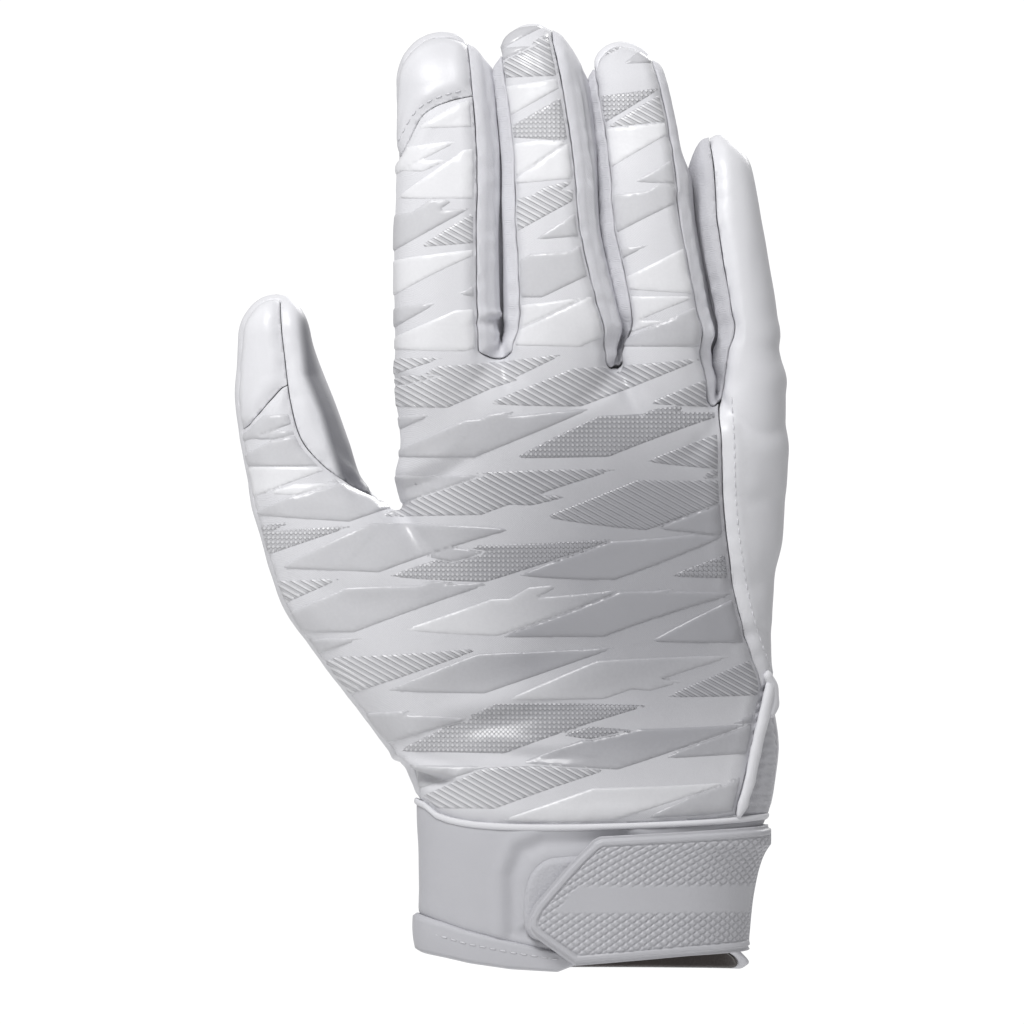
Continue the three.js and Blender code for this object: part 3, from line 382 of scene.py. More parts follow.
def split(points, faces, at):
    """Adds the line where at is zero as edges. Corners close to the line are drawn on to it."""
    at = at.copy()
    at[np.abs(at) < 1e-7] = 0
    crossed = (at[faces].min(1) < 0) & (at[faces].max(1) > 0)
    plain, faces = faces[~crossed], faces[crossed]
    if not len(faces):
        return points, plain, at
    a, b = edges_of(faces)[0].T
    cross = at[a] * at[b] < 0
    a, b = a[cross], b[cross]
    t = at[a] / (at[a] - at[b])
    spot = points[a] + t[:, None] * (points[b] - points[a])
    points = points.copy()
    for corner, near in ((a, t < CLOSE), (b, t > 1 - CLOSE)):
        points[corner[near]] = spot[near]
        at[corner[near]] = 0
    edges, which, _ = edges_of(faces)
    which = which.reshape(3, -1).T
    a, b = edges.T
    cross = at[a] * at[b] < 0
    t = at[a[cross]] / (at[a[cross]] - at[b[cross]])
    new = np.full(len(edges), -1)
    new[cross] = len(points) + np.arange(cross.sum())
    points = np.concatenate([points, points[a[cross]] + t[:, None] * (points[b[cross]] - points[a[cross]])])
    at = np.concatenate([at, np.zeros(cross.sum())])
    cut = new[which]
    number = (cut >= 0).sum(1)
    parts = [plain, faces[number == 0]]
    for k in range(3):
        p, q, r = faces[:, k], faces[:, (k + 1) % 3], faces[:, (k + 2) % 3]
        pq, qr, rp = cut[:, k], cut[:, (k + 1) % 3], cut[:, (k + 2) % 3]
        two = (number == 2) & (pq >= 0) & (rp >= 0)
        parts.append(np.stack([p[two], pq[two], rp[two]], 1))
        parts.append(np.stack([pq[two], q[two], r[two]], 1))
        parts.append(np.stack([pq[two], r[two], rp[two]], 1))
        one = (number == 1) & (qr >= 0)
        parts.append(np.stack([p[one], q[one], qr[one]], 1))
        parts.append(np.stack([p[one], qr[one], r[one]], 1))
    return points, np.concatenate(parts), at


def keep(points, faces, at):
    """The part of a mesh where at is negative, cut along its zero line."""
    points, faces, at = split(points, faces, at)
    return compact(points, faces[at[faces].sum(1) < 0])


def normals_of(points, faces):
    a, b, c = (points[faces[:, k], :3] for k in range(3))
    face = np.cross(b - a, c - a)
    out = np.zeros((len(points), 3))
    for k in range(3):
        np.add.at(out, faces[:, k], face)
    return out / np.maximum(np.linalg.norm(out, axis=1, keepdims=True), 1e-12)


def rim_edges(faces):
    """The directed edges that only one triangle has."""
    _, which, counts = edges_of(faces)
    directed = np.concatenate([faces[:, [0, 1]], faces[:, [1, 2]], faces[:, [2, 0]]])
    return directed[counts[which.reshape(-1)] == 1]


def edge_distance(points, faces, reach=12.0):
    """How far each point is from the mesh's rim."""
    rim = rim_edges(faces)
    spots = np.concatenate([points[rim[:, 0], :3], (points[rim[:, 0], :3] + points[rim[:, 1], :3]) / 2])
    tree = KDTree(len(spots))
    for i, p in enumerate(spots):
        tree.insert(p, i)
    tree.balance()
    return np.array([min(tree.find(p)[2], reach) for p in points[:, :3]])


def closed(outer, inner, faces):
    """A closed sheet from its outer and inner points, with rims between them."""
    n = len(outer)
    rim = rim_edges(faces)
    side = np.stack([rim[:, 1], rim[:, 0], rim[:, 0] + n, rim[:, 1] + n], 1)
    sides = np.concatenate([side[:, [0, 1, 2]], side[:, [0, 2, 3]]])
    return np.concatenate([outer, inner]), np.concatenate([faces, faces[:, ::-1] + n, sides])


def shell(points, faces, wall, normals=None):
    """A closed sheet whose inner surface lies a wall further in."""
    return closed(points, points - wall * (normals_of(points, faces) if normals is None else normals), faces)


def grain(points, size, seed):
    """Smooth noise from -1 to 1 whose lumps are about size across."""
    p = points[:, :3] / size + seed * 17.31
    cell = np.floor(p).astype(np.int64)
    t = p - cell
    t = t * t * (3 - 2 * t)
    total = np.zeros(len(p))
    for corner in product((0, 1), repeat=3):
        c = cell + np.array(corner)
        # Large odd numbers scatter the values of neighbouring cells.
        h = (c[:, 0] * 73856093 ^ c[:, 1] * 19349663 ^ c[:, 2] * 83492791) & 0xFFFFFF
        h = (h * 1103515245 + 12345) & 0x7FFFFFFF
        value = (h >> 8) % 4096 / 2047.5 - 1
        weight = np.prod(np.where(np.array(corner) == 1, t, 1 - t), axis=1)
        total += value * weight
    return total


# Lines and regions as seen from the front.
def beside(x, z, ax, az, bx, bz):
    """How far along the line from a to b each point lies, from 0 to 1, and how far away from it."""
    ex, ez = bx - ax, bz - az
    t = np.clip(((x - ax) * ex + (z - az) * ez) / max(ex * ex + ez * ez, 1e-9), 0, 1)
    return t, np.hypot(x - ax - t * ex, z - az - t * ez)


def outline_distance(x, z, outline):
    """Signed distance from an outline of (x, z) points, negative inside."""
    best = np.full(np.shape(x), 1e9)
    inside = np.zeros(np.shape(x), bool)
    for (ax, az), (bx, bz) in zip(outline, outline[1:] + outline[:1]):
        best = np.minimum(best, beside(x, z, ax, az, bx, bz)[1])
        if az != bz:
            inside ^= ((az > z) != (bz > z)) & (x < (bx - ax) * (z - az) / (bz - az) + ax)
    return np.where(inside, -best, best)


def finely(path, step=1.5):
    """A smooth curve through a path's points, in short steps."""
    p = np.array(path, float)
    s = np.concatenate([[0], np.cumsum(np.linalg.norm(np.diff(p, axis=0), axis=1))])
    at = np.linspace(0, s[-1], max(int(s[-1] / step), 2))
    return list(zip(*(curve(at, s, column).tolist() for column in p.T)))


def seam_x(i, side, z):
    """The seam of the back panel on one side of a finger."""
    root, tip = FINGER_SEAMS[i]
    share = mix(root[side], tip[side], (z - palm_z(FINGERS[i]["web"])) / FINGERS[i]["length"])
    return mix(at_height(FINGER_LINES[i], "left", z), at_height(FINGER_LINES[i], "right", z), share)


sky = max(f["top"] for f in FINGERS) + SKY

# How wide each strip is left at the crotch, as a share of the seams' own distance.
GAP_PINCH = [0.9, 0.45, 0.5]


def gap_outline(i):
    foot = palm_z(CROTCHES[i])
    rise = lambda f: np.linspace(foot, FINGERS[f]["top"], 40)
    side = lambda f, s: [(float(seam_x(f, s, z)), float(z)) for z in rise(f)]
    up, down = side(i + 1, 0), side(i, 1)[::-1]
    middle = mix(down[-1][0], up[0][0], 0.45)
    pinch = lambda x, z: mix(middle, x, mix(GAP_PINCH[i], 1, float(smooth(0, 15, z - foot))))
    up, down = ([(pinch(x, z), z) for x, z in line] for line in (up, down))
    a, b = down[-1][0], up[0][0]
    drop = lambda t: foot - WEB_DROP * math.sin(math.pi * t) ** 0.7
    bottom = [(mix(a, b, t), drop(t)) for t in (0.12, 0.3, 0.5, 0.7, 0.88)]
    return bottom + up + [(up[-1][0], sky), (down[0][0], sky)] + down


def thumb_x(up, across):
    z = thumb_z(up)
    return float(mix(at_height(THUMB_LINE, "left", z), at_height(THUMB_LINE, "right", z), across))


wrist_line = finely([(cuff_x(a), (1 + r) * CUFF_HEIGHT) for a, r in WRIST_LINE], 3)
wrist_z = lambda x: np.interp(x, [p[0] for p in wrist_line], [p[1] for p in wrist_line])
ulnar_seam = finely([(palm_x(a), palm_z(u)) for a, u in ULNAR_SEAM])
slit_top = (palm_x(SLIT_TOP[0]), palm_z(SLIT_TOP[1]))
slit_foot = (palm_x(SLIT_FOOT[0]), float(wrist_z(palm_x(SLIT_FOOT[0]))))
thumb_seam = finely([(thumb_x(u, a), thumb_z(u)) for a, u in THUMB_SEAM])
# Further out than the glove reaches.
FAR = 130.0


def back_outline():
    between = [(float(at_height(FINGER_LINES[2], "right", z)) + FINGER_GAP / 2, float(z))
               for z in np.linspace(palm_z(CROTCHES[2]) + FINGER_GAP, sky, 30)]
    inner_x, inner_z = thumb_seam[-1]
    air = (inner_x + HAND_LEFT) / 2
    return ([slit_foot, slit_top] + ulnar_seam[::-1] + between + [(air, sky), (air, inner_z + FINGER_GAP)]
            + thumb_seam[::-1] + [(-FAR, thumb_seam[0][1]), (-FAR, 0), (slit_foot[0], 0)])


def finger_middle(i, z):
    return at_height(FINGER_LINES[i], "cy", z)


def hand_middle(x, z):
    root = -FINGER_FORWARD * smooth(palm_z(0.3), palm_z(0.95), z)
    line = np.where(z > palm_z(1), finger_middle(0, z), root)
    outwards = smooth(HAND_LEFT + THUMB_WIDTH / 4, HAND_LEFT - THUMB_WIDTH / 4, x)
    return mix(line, at_height(THUMB_LINE, "cy", z), outwards * smooth(thumb_z(-0.05), thumb_z(0.15), z))


def palm_seam_depth(x, z):
    """How far round the fingers the side strips reach."""
    middles = np.stack([at_height(line, "cx", z) for line in FINGER_LINES])
    depths = np.stack([finger_middle(i, z) + 0.2 * f["deep"] * FINGER_DEPTH
                       for i, f in enumerate(FINGERS)])
    out = depths[0]
    for i in range(3):
        t = np.clip((x - middles[i]) / (middles[i + 1] - middles[i]), 0, 1)
        out = out + (depths[i + 1] - depths[i]) * t
    return out


BACK, GAPS = back_outline(), [gap_outline(i) for i in range(3)]


def index_cap_outline():
    z = lambda share: palm_z(1) + share * FINGERS[0]["length"]
    left, right = (float(at_height(FINGER_LINES[0], k, z(0.83))) for k in ("left", "right"))
    seam = finely([(left - 2, z(0.585)), (mix(left, right, 0.08), z(0.66)), (mix(left, right, 0.28), z(0.76)),
                   (mix(left, right, 0.6), z(0.805)), (right + 1, z(0.825))])
    return seam + [(right + 1, sky), (left - 2, sky)]


def thumb_cap_outline():
    outer, inner = thumb_x(0.73, -0.3), thumb_x(0.73, 1)
    places = [(0.735, 0.05, 0.735), (0.76, 0.2, 0.762), (0.8, 0.4, 0.8), (0.82, 0.55, 0.822)]
    seam = finely([(outer, thumb_z(0.712)), *((thumb_x(at, across), thumb_z(up)) for at, across, up in places),
                   (inner, thumb_z(0.84))])
    return seam + [(inner, sky), (outer, sky)]


INDEX_CAP, THUMB_CAP = index_cap_outline(), thumb_cap_outline()
GUSSET = [(slit_foot[0] + 1.4, 0), (FAR, 0), (FAR, slit_top[1]), slit_top, (slit_foot[0] + 1.4, slit_foot[1])]


def in_back(p):
    """The back panel's region, which reaches further round the form at the web of the thumb."""
    x, y, z = p.T
    forward = 3 - 8 * hump(x, -47, 7) * hump(z, 117, 9)
    return np.maximum(outline_distance(x, z, BACK), y - hand_middle(x, z) + forward)


seen_in = lambda p, outline: outline_distance(p[:, 0], p[:, 2], outline)
in_gap = lambda p, i: np.maximum(seen_in(p, GAPS[i]), p[:, 1] - palm_seam_depth(p[:, 0], p[:, 2]))
in_gusset = lambda p: np.maximum(seen_in(p, GUSSET), p[:, 1] - 3)
above_wrist = lambda p: wrist_z(p[:, 0]) + 0.2 - p[:, 2]

# The soft folds of the worn cloth, as seen from the front: a path, how wide and deep in millimetres, and
# how much cloth swells beside it. A negative depth is a ridge.
FOLDS = [
    ([(-46, 51.5), (-40, 48.6), (-33.5, 47.6)], 1.3, 2.2, 1.9),
    ([(-37, 60), (-24, 62), (-10, 65)], 3.0, 1.5, 0.7),
    ([(-10, 65), (4, 69), (14, 71.5)], 4.0, 0.8, 0.3),
    ([(-24, 54.8), (-12, 53.6), (-2, 53.6)], 1.8, 0.9, 0.4),
    ([(-30, 70), (-14, 76), (6, 80)], 5.0, 0.7, 0.3),
    ([(-50, 112), (-43, 120), (-36, 127)], 5.0, 1.2, 0.4),
    ([(-48, 120.5), (-40, 121.5), (-29, 127.5)], 2.4, 1.2, 0.6),
    ([(-66, 96), (-56, 92), (-47, 93)], 4.0, 0.7, 0.3),
    ([(-47, 147), (-43, 147.5)], 1.6, 0.5, 0.4),
    ([(-27, 161.5), (-23.5, 161.8), (-19.5, 161)], 1.2, 0.9, 0.6),
    ([(-20.5, 153), (-19.5, 146), (-16, 139)], 2.0, 0.7, 0.4),
    ([(9, 151), (11, 144), (15, 137)], 2.0, 0.9, 0.4),
    ([(8, 149), (1, 143), (-6, 139)], 2.2, 0.6, 0.3),
    ([(33, 142), (31, 134), (25, 128)], 2.2, 0.7, 0.3),
    ([(36.5, 120), (41, 117), (46, 118)], 2.4, 0.45, 0.2),
    ([(35, 99), (41, 96), (47, 98)], 2.8, 0.5, 0.2),
    ([(38, 82), (43, 85), (47, 84)], 1.8, 0.5, 0.2),
]
# The flexion folds of the palm side, in the same way.
PALM_FOLDS = [
    ([(-46, 118), (-38, 100), (-34, 78), (-30, 58)], 3.0, 0.9, 0.5),
    ([(-42, 128), (-20, 122), (10, 108), (34, 92)], 2.6, 0.7, 0.4),
    ([(-10, 140), (12, 134), (40, 118)], 2.6, 0.7, 0.4),
    ([(-44, 152), (-18, 152)], 1.6, 0.7, 0.4),
    ([(-14, 154), (8, 152)], 1.6, 0.7, 0.4),
    ([(12, 150), (32, 144)], 1.6, 0.7, 0.4),
    ([(-46, 184), (-24, 184)], 1.4, 0.6, 0.35),
    ([(-18, 190), (4, 189)], 1.4, 0.6, 0.35),
    ([(8, 182), (28, 180)], 1.4, 0.6, 0.35),
    ([(28, 166), (48, 164)], 1.4, 0.6, 0.35),
    ([(-84, 136), (-64, 138)], 1.5, 0.6, 0.35),
    ([(-38, 47), (0, 50), (38, 47)], 2.4, 0.6, 0.4),
]


def fold_height(x, z, folds):
    """How far the folds push the cloth out (or in, where negative)."""
    out = np.zeros(len(x))
    for path, wide, deep, swell in folds:
        best, side, end = np.full(len(x), 1e9), np.zeros(len(x)), np.zeros(len(x))
        fine = finely(path, 2)
        total = len(fine) - 1
        for k, ((ax, az), (bx, bz)) in enumerate(zip(fine, fine[1:])):
            t, away = beside(x, z, ax, az, bx, bz)
            near = away < best
            best = np.where(near, away, best)
            side = np.where(near, np.sign((bx - ax) * (z - az) - (bz - az) * (x - ax)), side)
            end = np.where(near, (k + t) / total, end)
        fade = np.sqrt(np.clip(4 * end * (1 - end), 0.12, 1))
        out -= deep * fade * hump(best, 0, wide)
        out += swell * fade * hump(best * side, 1.7 * wide, 1.1 * wide)
    return out


def crown(points, normals):
    """The cloth's movement over the form: folds on the back, and a slow unevenness all over."""
    facing = smooth(-0.35, 0.25, -normals[:, 1])
    lift = fold_height(points[:, 0], points[:, 2], FOLDS) * facing
    if normals[:, 1].max() > 0.7:
        lift += fold_height(points[:, 0], points[:, 2], PALM_FOLDS) * smooth(0.1, 0.6, normals[:, 1])
    return lift + 0.28 * grain(points, 17, 1) + 0.14 * grain(points, 7, 2)


past_ridge = lambda x, z: x - np.interp(z, THUMB_RIDGE["z"], THUMB_RIDGE["x"])
# How far the cloth swells beside a seam, how far its puckers reach, and how much it all lies further in.
SEAM_SWELL, PUCKER_REACH, CLOTH_SUNK = 0.22, 3.2, 0.1


def dressed(points, faces, drop=0.75, wide=1.4, pucker=0.26):
    """A sewn panel from a cut of the form: its edges roll in at the seams, and the cloth puckers there."""
    normals = normals_of(points, faces)
    away = edge_distance(points, faces)
    lift = crown(points, normals) - drop * hump(away, 0, wide)
    lift += SEAM_SWELL * hump(away, 2.6 * wide, wide)
    lift += pucker * grain(points, 2.6, 3) * hump(away, 0, PUCKER_REACH) - CLOTH_SUNK
    outer = points + lift[:, None] * normals
    x, y, z = points.T
    # The blade of the hand fills out above the cuff and is drawn in beside the little finger's root.
    blade = smooth(38, 45, x)
    outer[:, 0] += blade * (1.2 * smooth(66, 54, z) - 1.9 * hump(z, 160, 8) - 1.35 * hump(z, 174, 10))
    # The web of the thumb is drawn in, and the thumb's inner face turns away behind its ridge.
    outer[:, 0] -= 2.0 * smooth(-38, -44, x) * smooth(-53, -49, x) * hump(z, 121.5, 5)
    past = smooth(-1.5, 3.8, past_ridge(x, z)) * (x < HAND_LEFT - 1)
    outer[:, 1] += 3.2 * past * smooth(112, 124, z) * smooth(168, 158, z) * (1 - smooth(2, 14, y))
    return outer, away


# Objects, materials and nodes.
def linear(code):
    """An sRGB hex colour as linear numbers with alpha."""
    channels = [int(code[k:k + 2], 16) / 255 for k in (1, 3, 5)]
    return tuple(c / 12.92 if c <= 0.04045 else ((c + 0.055) / 1.055) ** 2.4 for c in channels) + (1.0,)


MATHS, NOISE, ATTRIBUTE = "ShaderNodeMath", "ShaderNodeTexNoise", "ShaderNodeAttribute"


def node(tree, kind, links=(), **settings):
    """Adds a node. Links are pairs of a socket and a value, an output, or a node for its first output."""
    added = tree.nodes.new(kind)
    for key, value in settings.items():
        setattr(added, key, value)
    for socket, value in links:
        if isinstance(value, bpy.types.Node):
            value = value.outputs[0]
        if isinstance(value, bpy.types.NodeSocket):
            tree.links.new(value, added.inputs[socket])
        else:
            added.inputs[socket].default_value = value
    return added


def set_values(shader, values):
    for socket, value in values.items():
        shader.inputs[socket].default_value = value


def finish(name, base, dark, roughness, bump, build, sheen=0.0, coat=0.0, specular=0.5):
    """A material: build(tree, place) gives the height that the bump uses and the share of the dark colour."""
    material = bpy.data.materials.new(name)
    material.use_nodes = True
    tree = material.node_tree
    shader = tree.nodes["Principled BSDF"]
    set_values(shader, {"Roughness": roughness, "Sheen Weight": sheen, "Sheen Roughness": 0.4,
                        "Coat Weight": coat, "Coat Roughness": 0.22, "Specular IOR Level": specular})
    place = node(tree, "ShaderNodeTexCoord").outputs["Object"]
    height, share = build(tree, place)
    # The shade attribute is painted shade: it adds to the share of the dark colour.
    shade = node(tree, ATTRIBUTE, attribute_name="shade").outputs["Fac"]
    share = node(tree, MATHS, enumerate((share, shade)), operation="ADD", use_clamp=True)
    colour = node(tree, "ShaderNodeMix", [("Factor", share), (6, linear(base)), (7, linear(dark))],
                  data_type="RGBA")
    tree.links.new(colour.outputs[2], shader.inputs["Base Color"])
    raised = node(tree, "ShaderNodeBump", [("Strength", 1.0), ("Distance", bump * MM), ("Height", height)])
    tree.links.new(raised.outputs[0], shader.inputs["Normal"])
    return material


# The scale of each noise is how many of its lumps lie in a millimetre, over MM.
def stretch_knit(pitch, mottle=0.25):
    """A fine knit: loops a pitch apart in millimetres, a slow unevenness, and dust in the hollows. The real
    loops are 0.3 to 0.5 mm apart and are drawn coarser, so that they show."""
    def build(tree, place):
        turns = 2 * math.pi / (pitch * MM)
        x, y, z = node(tree, "ShaderNodeSeparateXYZ", [(0, place)]).outputs
        slant = node(tree, MATHS, enumerate((x, y)), operation="ADD")
        slant = node(tree, MATHS, enumerate((slant, turns)), operation="MULTIPLY")
        across = node(tree, MATHS, [(0, slant)], operation="SINE")
        rise = node(tree, MATHS, enumerate((z, turns * 1.3)), operation="MULTIPLY")
        along = node(tree, MATHS, [(0, rise)], operation="SINE")
        loops = node(tree, MATHS, enumerate((across, along)), operation="MULTIPLY")
        slow = node(tree, NOISE, [("Vector", place), ("Scale", 0.13 / MM), ("Detail", 4.0)])
        fuzz = node(tree, NOISE, [("Vector", place), ("Scale", 2.6 / MM), ("Detail", 2.0)])
        low = node(tree, MATHS, enumerate((fuzz, 0.8)), operation="MULTIPLY")
        height = node(tree, MATHS, enumerate((loops, 0.35, low)), operation="MULTIPLY_ADD")
        dust = node(tree, MATHS, enumerate((fuzz, 0.12)), operation="MULTIPLY")
        return height, node(tree, MATHS, enumerate((slow, mottle, dust)), operation="MULTIPLY_ADD")
    return build


def coated_skin(tree, place):
    """A smooth coated face: pores 0.7 mm apart, drawn coarser than real ones, and soft rub marks."""
    pores = node(tree, "ShaderNodeTexVoronoi", [("Vector", place), ("Scale", 1.5 / MM)])
    slow = node(tree, NOISE, [("Vector", place), ("Scale", 0.09 / MM), ("Detail", 5.0)])
    fine = node(tree, NOISE, [("Vector", place), ("Scale", 0.9 / MM), ("Detail", 3.0)])
    height = node(tree, MATHS, enumerate((pores, 0.5, fine)), operation="MULTIPLY_ADD")
    return height, node(tree, MATHS, enumerate((slow, 0.07)), operation="MULTIPLY")


RIB_PITCH, DOT_PITCH = 1.5, 2.3


def raised_print(tree, place):
    """Satin print: ribs or dots where the piece's own attributes ask for them, at the pitches above."""
    ribs = node(tree, ATTRIBUTE, attribute_name="ribs").outputs["Fac"]
    dots = node(tree, ATTRIBUTE, attribute_name="dots").outputs["Fac"]
    x, _, z = node(tree, "ShaderNodeSeparateXYZ", [(0, place)]).outputs
    lean = node(tree, MATHS, enumerate((x, 0.55, z)), operation="MULTIPLY_ADD")
    waves = []
    for way, pitch in ((lean, RIB_PITCH), (node(tree, MATHS, enumerate((x, z)), operation="ADD"), DOT_PITCH),
                       (node(tree, MATHS, enumerate((x, z)), operation="SUBTRACT"), DOT_PITCH)):
        turns = node(tree, MATHS, enumerate((way, 2 * math.pi / (pitch * MM))), operation="MULTIPLY")
        waves.append(node(tree, MATHS, [(0, turns)], operation="SINE"))
    rib = node(tree, MATHS, enumerate((waves[0], 1.2, 0.5)), operation="MULTIPLY_ADD", use_clamp=True)
    rib = node(tree, MATHS, enumerate((rib, ribs)), operation="MULTIPLY")
    spots = node(tree, MATHS, enumerate(waves[1:]), operation="MULTIPLY")
    dot = node(tree, MATHS, enumerate((spots, 2.0, 0.2)), operation="MULTIPLY_ADD", use_clamp=True)
    dot = node(tree, MATHS, enumerate((dot, dots)), operation="MULTIPLY")
    proud = node(tree, MATHS, enumerate((rib, dot)), operation="ADD")
    fine = node(tree, NOISE, [("Vector", place), ("Scale", 1.2 / MM), ("Detail", 2.0)])
    relief = node(tree, MATHS, enumerate((proud, 6.0)), operation="MULTIPLY")
    height = node(tree, MATHS, enumerate((fine, 0.5, relief)), operation="MULTIPLY_ADD")
    patterned = node(tree, MATHS, enumerate((ribs, dots)), operation="ADD")
    # The hollows between the ribs and dots are painted darker, as painted shade.
    painted_hollow_shade = node(tree, MATHS, enumerate((patterned, proud)), operation="SUBTRACT")
    tone = node(tree, ATTRIBUTE, attribute_name="tone").outputs["Fac"]
    tone = node(tree, MATHS, enumerate((tone, 0.4)), operation="MULTIPLY")
    worn = node(tree, MATHS, enumerate((fine, 0.1, tone)), operation="MULTIPLY_ADD")
    return height, node(tree, MATHS, enumerate((painted_hollow_shade, 0.4, worn)), operation="MULTIPLY_ADD")


def brushed(tree, place):
    """Brushed pile: short fibres that lie every way. Single ones are too fine, so tufts of 0.7 mm are drawn."""
    fuzz = node(tree, NOISE, [("Vector", place), ("Scale", 1.4 / MM), ("Detail", 6.0)])
    slow = node(tree, NOISE, [("Vector", place), ("Scale", 0.16 / MM), ("Detail", 3.0)])
    tufts = node(tree, MATHS, enumerate((fuzz, 0.3)), operation="MULTIPLY")
    share = node(tree, MATHS, enumerate((slow, 0.4, tufts)), operation="MULTIPLY_ADD")
    return node(tree, MATHS, enumerate((fuzz, 1.5)), operation="MULTIPLY"), share


def twisted_thread(tree, place):
    """Thread: a fine twist."""
    bands = [("Vector", place), ("Scale", 0.9 / MM), ("Distortion", 2.0)]
    wave = node(tree, "ShaderNodeTexWave", bands).outputs[1]
    return wave, node(tree, MATHS, enumerate((wave, 0.3)), operation="MULTIPLY")


# Each finish: its name, its pale and its dark colour, its roughness, and how high its bumps are in mm.
# The dark colour also carries the painted shade of each piece's shade attribute.
MATERIALS = {
    # Polyester and elastane, knitted fine: matt, off-white, with a faint bloom at grazing angles.
    "back_knit": finish("polyester_spandex_knit", "#e6e6ea", "#a9a9ae", 0.62, 0.05, stretch_knit(0.55, 0.12),
                        sheen=0.15),
    # Silicone ink, moulded on in raised bands: smooth satin that catches soft lights.
    "print": finish("moulded_satin_print", "#eeeef1", "#a1a1a6", 0.3, 0.05, raised_print, specular=0.55),
    # Microfibre with a tacky coating rolled on: smooth, with a low gloss, faintly mottled, and greyer where
    # shade is painted on.
    "skin": finish("coated_grip_microfibre", "#e8e8ec", "#808086", 0.42, 0.03, coated_skin, coat=0.06),
    # The same polyester in a thinner knit between the fingers: matt, with painted shade that greys it where it
    # lies deep.
    "side_knit": finish("fine_side_knit", "#dedee3", "#85848a", 0.75, 0.07, stretch_knit(0.6, 0.07), sheen=0.1),
    # Elastic knitted in ribs: the coarsest and mattest of the knits.
    "gusset_knit": finish("ribbed_elastic_knit", "#c6c6cb", "#a0a0a6", 0.85, 0.1, stretch_knit(0.9), sheen=0.2),
    # Woven polyester tape, folded over an edge and sewn: an even pale band.
    "tape": finish("folded_binding_tape", "#e6e6ea", "#cacacf", 0.6, 0.06, stretch_knit(0.7), sheen=0.15),
    # Foam rubber with a fine knit laminated on: thick, smooth and even light grey.
    "cuff": finish("smooth_faced_neoprene", "#c5c5ca", "#b2b2b8", 0.6, 0.03, stretch_knit(0.45), sheen=0.2),
    # Polyester knit with its loops brushed up: dark, soft and without gloss.
    "lining": finish("brushed_dark_lining", "#4b4543", "#332f2e", 0.95, 0.12, brushed, sheen=0.3),
    # The soft side of a hook-and-loop closing, woven and brushed: pale and fuzzy.
    "pile": finish("brushed_loop_pile", "#cacacf", "#adadb3", 0.95, 0.15, brushed, sheen=0.3),
    # Polyester knit coated with soft plastic: a smooth strap, between the cuff and the hand in tone.
    "strap": finish("coated_strap_knit", "#d1d1d6", "#bbbbc0", 0.6, 0.05, stretch_knit(0.6), sheen=0.1),
    # Thermoplastic rubber, injection moulded: even grey with a dull gloss on its knurls and rim.
    "patch": finish("moulded_soft_rubber", "#c0c0c5", "#a7a7ac", 0.42, 0.03, coated_skin),
    # Polyester sewing thread, spun and twisted: off-white, a little brighter than the cuff that it crosses.
    "thread": finish("polyester_thread", "#e2e2e6", "#bdbdc3", 0.55, 0.05, twisted_thread, sheen=0.1),
}


def placed(name, data):
    """An object that holds a mesh, a lamp or a camera, linked into the scene."""
    thing = bpy.data.objects.new(name, data)
    bpy.context.scene.collection.objects.link(thing)
    return thing


def write_mesh(name, points, faces, material, **attributes):
    """A mesh object at the origin from points in millimetres."""
    mesh = bpy.data.meshes.new(name)
    mesh.vertices.add(len(points))
    mesh.vertices.foreach_set("co", (points[:, :3] * MM).astype(np.float32).ravel())
    sides = faces.shape[1]
    mesh.loops.add(faces.size)
    mesh.loops.foreach_set("vertex_index", faces.astype(np.int32).ravel())
    mesh.polygons.add(len(faces))
    mesh.polygons.foreach_set("loop_start", np.arange(0, faces.size, sides, dtype=np.int32))
    mesh.update(calc_edges=True)
    mesh.validate()
    mesh.polygons.foreach_set("use_smooth", np.ones(len(mesh.polygons), bool))
    for key, values in attributes.items():
        mesh.attributes.new(key, "FLOAT", "POINT").data.foreach_set("value", values.astype(np.float32))
    mesh.materials.append(MATERIALS[material])
    return placed(name, mesh)


def add_piece(name, points, faces, material, replaced, slot, cloth=None, **attributes):
    """Writes a piece, lets it ride with the glove and stand for its CAD node."""
    piece = write_mesh(name, points, faces, material, **attributes)
    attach(piece, "root")
    if replaced:
        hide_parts(*replaced)
    made[name] = piece
    return piece


made = {}

# The hand's panels.
FORM_BOX = (-92, -26, 30), (57, 25, 241)


def form_skin(cell):
    points, faces = field_mesh(hand, *FORM_BOX, cell)
    return keep(points, faces, above_wrist(points))


back_skin, palm_skin = form_skin(BACK_CELL), form_skin(PALM_CELL)
# Each panel's edge stays this far from a seam's line.
GAP = 0.12


def cut(points, faces, *tests):
    for test in tests:
        points, faces = keep(points, faces, test(points))
    return points, faces


outside_gaps = [lambda p, i=i: GAP - in_gap(p, i) for i in range(3)]
whole_front = cut(*back_skin, lambda p: in_back(p) + GAP)
whole_back = cut(*palm_skin, lambda p: GAP - in_back(p))
back_cut = cut(*whole_front, *outside_gaps, lambda p: GAP - seen_in(p, INDEX_CAP),
               lambda p: GAP - seen_in(p, THUMB_CAP), lambda p: GAP - in_gusset(p))
palm_cut = cut(*whole_back, *outside_gaps, lambda p: GAP - in_gusset(p))
index_cut = cut(*whole_front, lambda p: seen_in(p, INDEX_CAP) + GAP, *outside_gaps[:1])
thumb_cut = cut(*whole_front, lambda p: seen_in(p, THUMB_CAP) + GAP)


def painted_grip_shade(points):
    """Painted shade on the smooth material: the thumb's inner face, the little finger's side and the index tip.
    """
    x, y, z = points.T
    inner = smooth(-2.0, 0.6, past_ridge(x, z)) * (x < HAND_LEFT - 1)
    inner = inner * smooth(112, 120, z) * smooth(167, 162, z)
    side = 0.22 * smooth(35, 46, x) * smooth(30, 70, z)
    tip = 0.13 * smooth(198, 212, z) * smooth(-18, -24, x)
    return (inner + side) * (1 - smooth(2, 12, y)) + tip


